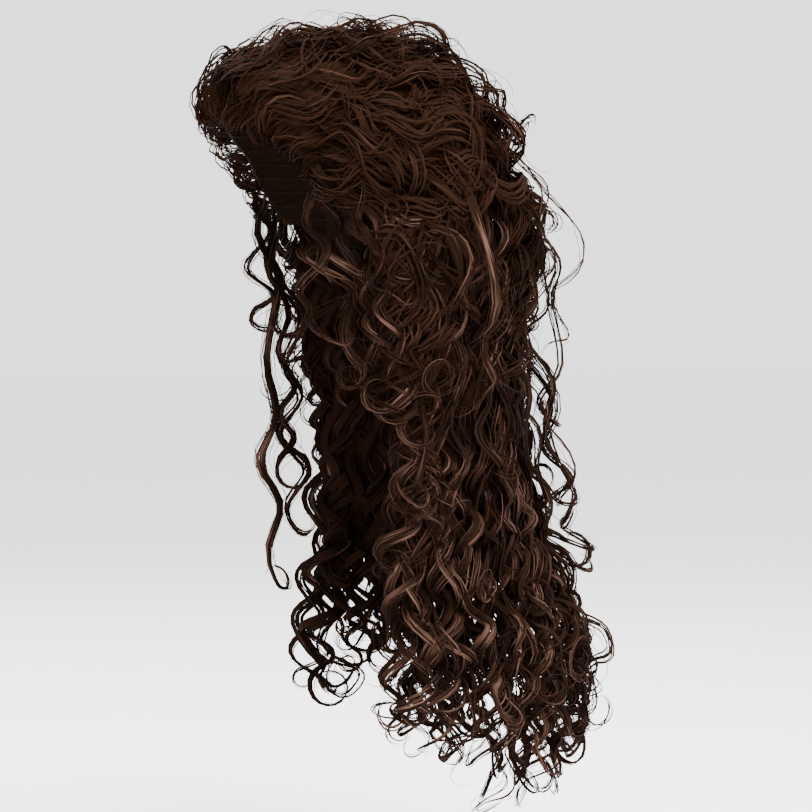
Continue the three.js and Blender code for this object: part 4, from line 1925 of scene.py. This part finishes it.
@dataclass(frozen=True)
class LooseCurls(LockSort):
    """Curls that leave the outside of the fall.

    Attributes:
        span: the breadth that they leave from, and places the shares of it between which they start.
        lift: largest depth that a curl reaches, from 1 at the outside, and lifts the shares of it.
        base_depths: each knot's own depth, and lift_depths the share of the lift that it adds.
    """

    span: Span = Span(0.0, 0.0)
    lift: float = 1.1
    first_drops: Range = (0.09, 0.40)
    lengths: Range = (0.08, 0.17)
    lifts: Range = (0.4, 1.0)
    places: Range = (0.05, 0.95)
    steps: Row = (0.0, 0.3, 0.65, 1.0)
    lean: float = 8.0
    leans: Row = (0.0, 0.2, 0.6, 1.0)
    base_depths: Row = (0.75, 0.35, 0.0, 0.3)
    lift_depths: Row = (0.0, 0.65, 1.0, 0.7)

    def knots(self, maker: GuideMaker, number: int) -> Array:
        """The path of a curl, out of the fall.

        Args:
            maker: what makes the guides.
            number: the curl's place among the others.

        Returns:
            Points from root to tip, one a row.
        """
        rng = maker.rng
        share = rng.uniform(*self.places)
        first = rng.uniform(*self.first_drops)
        drops = first + rng.uniform(*self.lengths) * np.array(self.steps)
        lean = rng.uniform(-self.lean, self.lean) * np.array(self.leans)
        top = 1.0 + (self.lift - 1.0) * rng.uniform(*self.lifts)
        depths = np.array(self.base_depths) + top * np.array(self.lift_depths)
        return FALL.point(self.span.angle(share, drops) + lean, depths, drops)


@dataclass(frozen=True)
class FallUnder:
    """The hair inside a fall: a ridged shell with a wavy hem, painted dark as the shade under the locks.

    Attributes:
        lap: how far it goes up behind the parting.
        hem: drop of its hem, hem_wave the height of the hem's waves and hem_turn their turn.
        ridge: height of its ridges, and ridge_turn their turn from column to column, in radians.
        thinning: share of the outside's depth that is lost at the hem, between the shares thins.
        outer_gap: distance that its outside keeps from the head, and inner_gap its inside.
    """

    columns: int = 33
    rows: int = 29
    edges: Range = (0.03, 0.99)
    lap: float = 0.012
    hem: float = 0.395
    hem_wave: float = 0.02
    hem_turn: float = 1.9
    outside: float = 0.48
    inside: float = 0.13
    ridge: float = 0.05
    ridge_turn: float = 1.6
    thinning: float = 0.6
    thins: Range = (0.8, 1.0)
    outer_gap: float = 0.006
    inner_gap: float = 0.003

    def shell(self, span: Span) -> Shell:
        """The shell's points.

        Args:
            span: the fall's breadth.

        Returns:
            The shell, with its rows from the top to the hem.
        """
        number = np.arange(self.columns)
        top = FALL.parting((span.low + span.high) / 2) - self.lap
        hem = self.hem + self.hem_wave * np.sin(number * self.hem_turn)
        rows = np.linspace(0.0, 1.0, self.rows)[:, None]
        drops = top + rows * (hem - top)
        angles = span.angle(np.linspace(*self.edges, self.columns), drops)
        thin = 1.0 - self.thinning * smoothstep(*self.thins, rows)
        depths = (self.outside + self.ridge * np.sin(number * self.ridge_turn)) * thin
        outer = HEAD.cleared(FALL.point(angles, depths, drops), self.outer_gap)
        inner = HEAD.cleared(FALL.point(angles, self.inside, drops), self.inner_gap)
        return Shell(outer, inner) if span.high > span.low else Shell(inner, outer)


@dataclass
class FallHair:
    """A fall of waved hair between two angles, with ringlets at its hem.

    Attributes:
        count: how many locks it has, and inner how many lie at its inside.
        loops: more full locks, and temple slim ones.
        curls: how many loose curls it has, with outliers, hem_curls and flyaways.
        tips: drops between which the tips lie, with short_tips and inner_tips.
        short_share: share of short locks, and hook_share that of locks with a curled tip.
        depths: depths in the hair, taken in turn, with inner_depths and their depth_vary.
        lap: how far a lock's root goes up behind the parting.
        root_depth: share of its depth at the root, and deep_by where it is full.
        phase_turns: turns of the wave from edge to edge.
    """

    node: str
    span: Span
    count: int
    seed: int
    inner: int = 8
    loops: tuple[LockSort, ...] = ()
    temple: tuple[LockSort, ...] = ()
    curls: int = 10
    outliers: int = 4
    hem_curls: int = 9
    flyaways: int = 8
    tips: Range = (0.44, 0.545)
    short_tips: Range = (0.35, 0.44)
    inner_tips: Range = (0.38, 0.46)
    short_share: float = 0.3
    hook_share: float = 0.9
    depths: Row = (0.93, 0.78, 0.9, 0.66, 0.86)
    inner_depths: Row = (0.03, 0.08)
    depth_vary: float = 0.06
    lap: float = 0.016
    steps: Row = (0.0, 0.06, 0.14, 0.3, 0.46, 0.62, 0.78, 0.9, 1.0)
    root_depth: float = 0.3
    deep_by: float = 0.15
    phase_turns: float = 2.2
    spread: float = 0.0046
    wave: Wave = Wave()
    hook: Hook = Hook()
    under: FallUnder = FallUnder()

    def guides(self, maker: GuideMaker, count: int, depths: Row, inside: bool = False) -> list[Guide]:
        """One guide for each lock of the fall.

        Args:
            maker: what makes the guides.
            count: how many.
            depths: depths in the hair, taken in turn.
            inside: whether they are the locks at the inside, which have tips of their own.

        Returns:
            The guides.
        """
        rng = maker.rng
        result = []
        for k in range(count):
            share = maker.place(k, count)
            depth = depths[k % len(depths)] * maker.vary(self.depth_vary)
            start = FALL.parting(float(self.span.angle(share, FALL.parting_level))) - self.lap
            # Locks at the inside draw this tip too, so that the draws keep their order
            tip = rng.uniform(*(self.short_tips if rng.uniform() < self.short_share else self.tips))
            if inside:
                tip = rng.uniform(*self.inner_tips)
            steps = np.array(self.steps)
            drops = start + (tip - start) * steps
            rise = risen(self.root_depth, self.deep_by, steps)
            knots = FALL.point(self.span.angle(share, drops), depth * rise, drops)
            hook = self.hook if rng.uniform() < self.hook_share else None
            phase = self.phase_turns * share
            # The lock's depth is its tone, so deeper locks are painted darker as shade.
            result.append(maker.guide(knots, self.wave, hook, self.spread, depth, phase))
        return result

    def loose(self) -> tuple[LooseCurls, ...]:
        """The sorts of curls that leave the fall.

        Returns:
            Curls all over, far ones, those at the hem and, last, those of single strands.
        """
        plain = LooseCurls(self.curls, span=self.span)
        far = {"wave": ARC_WAVE, "lift": 1.55, "first_drops": (0.03, 0.24), "lengths": (0.12, 0.20)}
        hem = {"lift": 1.2, "first_drops": (0.39, 0.47), "lengths": (0.05, 0.10)}
        return (
            plain,
            replace(plain, count=self.outliers, **far),
            replace(plain, count=self.hem_curls, **hem),
            replace(plain, count=self.flyaways, lift=1.3),
        )

    def build(self, hair: HairSet) -> None:
        """Builds and seats the fall's pieces.

        Args:
            hair: what the hair pieces share.
        """
        maker = GuideMaker(np.random.default_rng(self.seed))

        def grown(*sorts: LockSort) -> list[Guide]:
            """Guides of some sorts of locks."""
            return [guide for sort in sorts for guide in sort.guides(maker)]

        *curls, flyaways = self.loose()
        full = self.guides(maker, self.count, self.depths) + grown(*self.loops)
        inner = self.guides(maker, self.inner, self.inner_depths, inside=True)
        slim = grown(*self.temple, *curls)
        stray = grown(flyaways)
        # The shell and the inside locks take the under layer, painted darker as the shade inside the
        # fall.
        dark = hair.material(WAVED, Layer.UNDER)
        hair.seat(self.under.shell(self.span).build(f"{self.node}_under", dark), self.node)
        seed = self.seed + 3 * SEED_STEP
        hair.seat(hair.tree.dress(f"{self.node}_inner", inner, INNER, seed, dark), self.node)
        hair.cover(self.node, full, slim, stray, FALL_DRESSING, self.seed)


@dataclass(frozen=True)
class Ringlet:
    """A temple lock: root, hanging line, drop of its tip, its wave's height and length, and breadth."""

    root: Point
    hang: Range
    tip: float
    curl: float
    length: float
    spread: float


LEFT_RINGLETS = (
    Ringlet((0.070, -0.036, -0.070), (0.087, -0.041), 0.175, 0.013, 0.070, 0.0020),
    Ringlet((0.072, -0.030, -0.078), (0.086, -0.030), 0.205, 0.014, 0.064, 0.0024),
    Ringlet((0.074, -0.024, -0.086), (0.084, -0.020), 0.150, 0.010, 0.058, 0.0018),
    Ringlet((0.075, -0.018, -0.094), (0.090, -0.012), 0.225, 0.012, 0.075, 0.0024),
)
RIGHT_RINGLETS = (
    Ringlet((0.070, -0.036, -0.070), (0.087, -0.036), 0.180, 0.011, 0.066, 0.0022),
    Ringlet((0.072, -0.032, -0.078), (0.080, -0.023), 0.400, 0.0095, 0.080, 0.0045),
    Ringlet((0.075, -0.022, -0.092), (0.085, -0.005), 0.360, 0.0110, 0.074, 0.0045),
    Ringlet((0.074, -0.027, -0.086), (0.082, -0.013), 0.300, 0.0085, 0.068, 0.0035),
)


@dataclass
class TempleLocks:
    """Loose ringlets in front of an ear.

    Attributes:
        width: half width of their bundles of fibres.
        strands: the style of the single strands round them.
    """

    node: str
    hand: Hand
    ringlets: tuple[Ringlet, ...]
    seed: int
    width: float
    knots: int = 5
    end_share: float = 0.75
    wave: Wave = Wave(roundness=0.8, settle=0.06, drift=0.004)
    hook: Hook = Hook(radius=0.013, turn=300.0, outward=(-0.3, 0.3))
    strands: StrandStyle = StrandStyle(8, 0.00028, 1.0, 2.4, twist=1.0, frizz=0.004, shorten=0.3)

    @property
    def tresses(self) -> StrandStyle:
        """The style of the ringlets' own fibres."""
        return StrandStyle(6, self.width, 0.4, twist=0.5, frizz=0.0012, sway=0.25, stray=0.003, tilt=1.5)

    def guides(self) -> list[Guide]:
        """One guide for each ringlet.

        Returns:
            The guides.
        """
        maker = GuideMaker(np.random.default_rng(self.seed))
        result = []
        for ringlet in self.ringlets:
            root = np.array(ringlet.root)
            drops = np.linspace(-root[2], ringlet.tip, self.knots)
            knots = np.array([(*ringlet.hang, -drop) for drop in drops])
            knots[0] = root
            knots[1, :2] = 0.5 * (root[:2] + np.array(ringlet.hang))
            knots[:, 0] *= self.hand.value
            wave = replace(
                self.wave,
                length=ringlet.length,
                end_length=ringlet.length * self.end_share,
                height=ringlet.curl,
                end_height=ringlet.curl,
            )
            result.append(maker.guide(knots, wave, self.hook, ringlet.spread))
        return result

    def build(self, hair: HairSet) -> None:
        """Builds and seats the temple's pieces.

        Args:
            hair: what the hair pieces share.
        """
        guides = self.guides()
        lock, strand = (hair.material(WAVED, layer) for layer in (Layer.LOCK, Layer.STRAND))
        dress = hair.tree.dress
        hair.seat(dress(f"{self.node}_tresses", guides, self.tresses, self.seed, lock), self.node)
        seed = self.seed + SEED_STEP
        hair.seat(dress(f"{self.node}_strands", guides, self.strands, seed, strand), self.node)


@dataclass
class Cap:
    """The hollow cap, whose solid stays as it is."""

    node: str = "cap"
    finish: NetFinish = NetFinish()

    def dress(self, solid: bpy.types.Object) -> None:
        """Gives the solid its net.

        Args:
            solid: the cap's solid.
        """
        solid.data.materials.clear()
        solid.data.materials.append(self.finish.material())
        LOG.info("%s: net over the solid", self.node)


@dataclass(frozen=True)
class Lamp:
    """A soft square lamp: its direction as a camera's, its distance, its side and its watts."""

    name: str
    azimuth: float
    elevation: float
    distance: float
    size: float
    power: float


LAMPS = (
    Lamp("key", 92.0, 52.0, 2.2, 0.9, 110.0),
    Lamp("fill", 160.0, 35.0, 2.6, 1.2, 75.0),
    Lamp("top", 80.0, 84.0, 2.2, 1.4, 50.0),
    Lamp("front", 0.0, 30.0, 2.6, 1.4, 24.0),
    Lamp("far", 280.0, 40.0, 2.6, 1.4, 70.0),
)


@dataclass
class Studio:
    """Floor, light and camera.

    Attributes:
        azimuth: the camera's direction round the wig, and elevation above the horizon.
        metres_per_pixel: the photograph's scale, and picture its side in pixels.
        axis_pixel: the pixel at which the origin shows.
    """

    azimuth: float = 71.0
    elevation: float = 2.0
    distance: float = 3.4
    metres_per_pixel: float = 0.0008
    picture: int = 812
    axis_pixel: Range = (330.0, 84.0)
    sensor: float = 36.0
    floor_drop: float = 0.64
    floor_half: float = 14.0
    floor_colour: Colour = (0.94, 0.94, 0.94)
    surround: float = 2.2
    lamps: tuple[Lamp, ...] = LAMPS
    target: Point = (0.0, 0.05, -0.2)

    def build(self) -> None:
        """Builds the floor, the light and the camera."""
        self._floor()
        self._surround()
        for lamp in self.lamps:
            self._lamp(lamp)
        self._camera()

    def _floor(self) -> None:
        """A plain pale floor."""
        mesh = bpy.data.meshes.new("floor")
        half = self.floor_half
        corners = [(-half, -half), (half, -half), (half, half), (-half, half)]
        mesh.from_pydata([(x, y, -self.floor_drop) for x, y in corners], [], [(0, 1, 2, 3)])
        material, nodes = new_material("pale floor")
        colour = opaque(self.floor_colour)
        nodes.surface({"Base Color": colour, "Roughness": 1.0, "Specular IOR Level": 0.0})
        mesh.materials.append(material)
        shown("floor", mesh)

    def _surround(self) -> None:
        """An even white light all round."""
        world = bpy.data.worlds.new("studio")
        world.use_nodes = True
        background = world.node_tree.nodes["Background"]
        background.inputs["Color"].default_value = (1.0, 1.0, 1.0, 1.0)
        background.inputs["Strength"].default_value = self.surround
        bpy.context.scene.world = world

    def _lamp(self, lamp: Lamp) -> None:
        """Builds a lamp and aims it at the hair.

        Args:
            lamp: the lamp's sizes.
        """
        data = bpy.data.lights.new(lamp.name, "AREA")
        data.size = lamp.size
        data.energy = lamp.power
        item = shown(lamp.name, data)
        back = self._back(lamp.azimuth, lamp.elevation)
        item.location = Vector(self.target) + back * lamp.distance
        item.rotation_euler = (-back).to_track_quat("-Z", "Y").to_euler()

    @staticmethod
    def _back(azimuth: float, elevation: float) -> Vector:
        """Direction from the object to a camera."""
        a, e = math.radians(azimuth), math.radians(elevation)
        return Vector((math.sin(a) * math.cos(e), -math.cos(a) * math.cos(e), math.sin(e)))

    def _camera(self) -> None:
        """A camera at the photograph's angle and scale."""
        back = self._back(self.azimuth, self.elevation)
        turn = math.radians(self.azimuth)
        right = Vector((math.cos(turn), math.sin(turn), 0.0))
        up = back.cross(right)
        centre = self.picture / 2
        aim = right * ((centre - self.axis_pixel[0]) * self.metres_per_pixel)
        aim -= up * ((centre - self.axis_pixel[1]) * self.metres_per_pixel)
        data = bpy.data.cameras.new("camera")
        data.sensor_width = self.sensor
        data.lens = self.sensor * self.distance / (self.picture * self.metres_per_pixel)
        camera = shown("camera", data)
        camera.location = aim + back * self.distance
        camera.rotation_euler = (-back).to_track_quat("-Z", "Y").to_euler()
        bpy.context.scene.camera = camera


def main() -> None:
    """Builds the wig round its frame and logs its triangles."""
    logging.basicConfig(level=logging.INFO, format="%(name)s %(message)s")
    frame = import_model()
    Studio().build()
    cap = Cap()
    cap.dress(frame["nodes"][cap.node])
    hair = HairSet()
    left_side = FallHair(
        "side_hair_left", Span(46.0, 100.0, on_side=True), count=40, seed=22,
        loops=(EarLoops(12),), temple=(TempleSweeps(10), Sideburns(13)),
    )
    right_side = FallHair(
        "side_hair_right", Span(-46.0, -100.0, on_side=True), count=29, seed=31,
        loops=(EarLoops(10, hand=Hand.RIGHT),),
        temple=(TempleSweeps(8, hand=Hand.RIGHT), Sideburns(9, hand=Hand.RIGHT)),
        inner=14, tips=(0.425, 0.505),
    )
    back = FallHair(
        "back_hair", Span(-52.0, 52.0), count=58, seed=42,
        inner=14, curls=18, outliers=14, hem_curls=20, flyaways=12, tips=(0.46, 0.575),
    )
    left_temple = TempleLocks("temple_locks_left", Hand.LEFT, LEFT_RINGLETS, seed=51, width=0.0007)
    right_temple = TempleLocks("temple_locks_right", Hand.RIGHT, RIGHT_RINGLETS, seed=61, width=0.0017)
    for part in (CrownHair(), left_side, right_side, back, left_temple, right_temple):
        part.build(hair)
    LOG.info("all hair: %d triangles", hair.triangles)


if __name__ == "__main__":
    main()
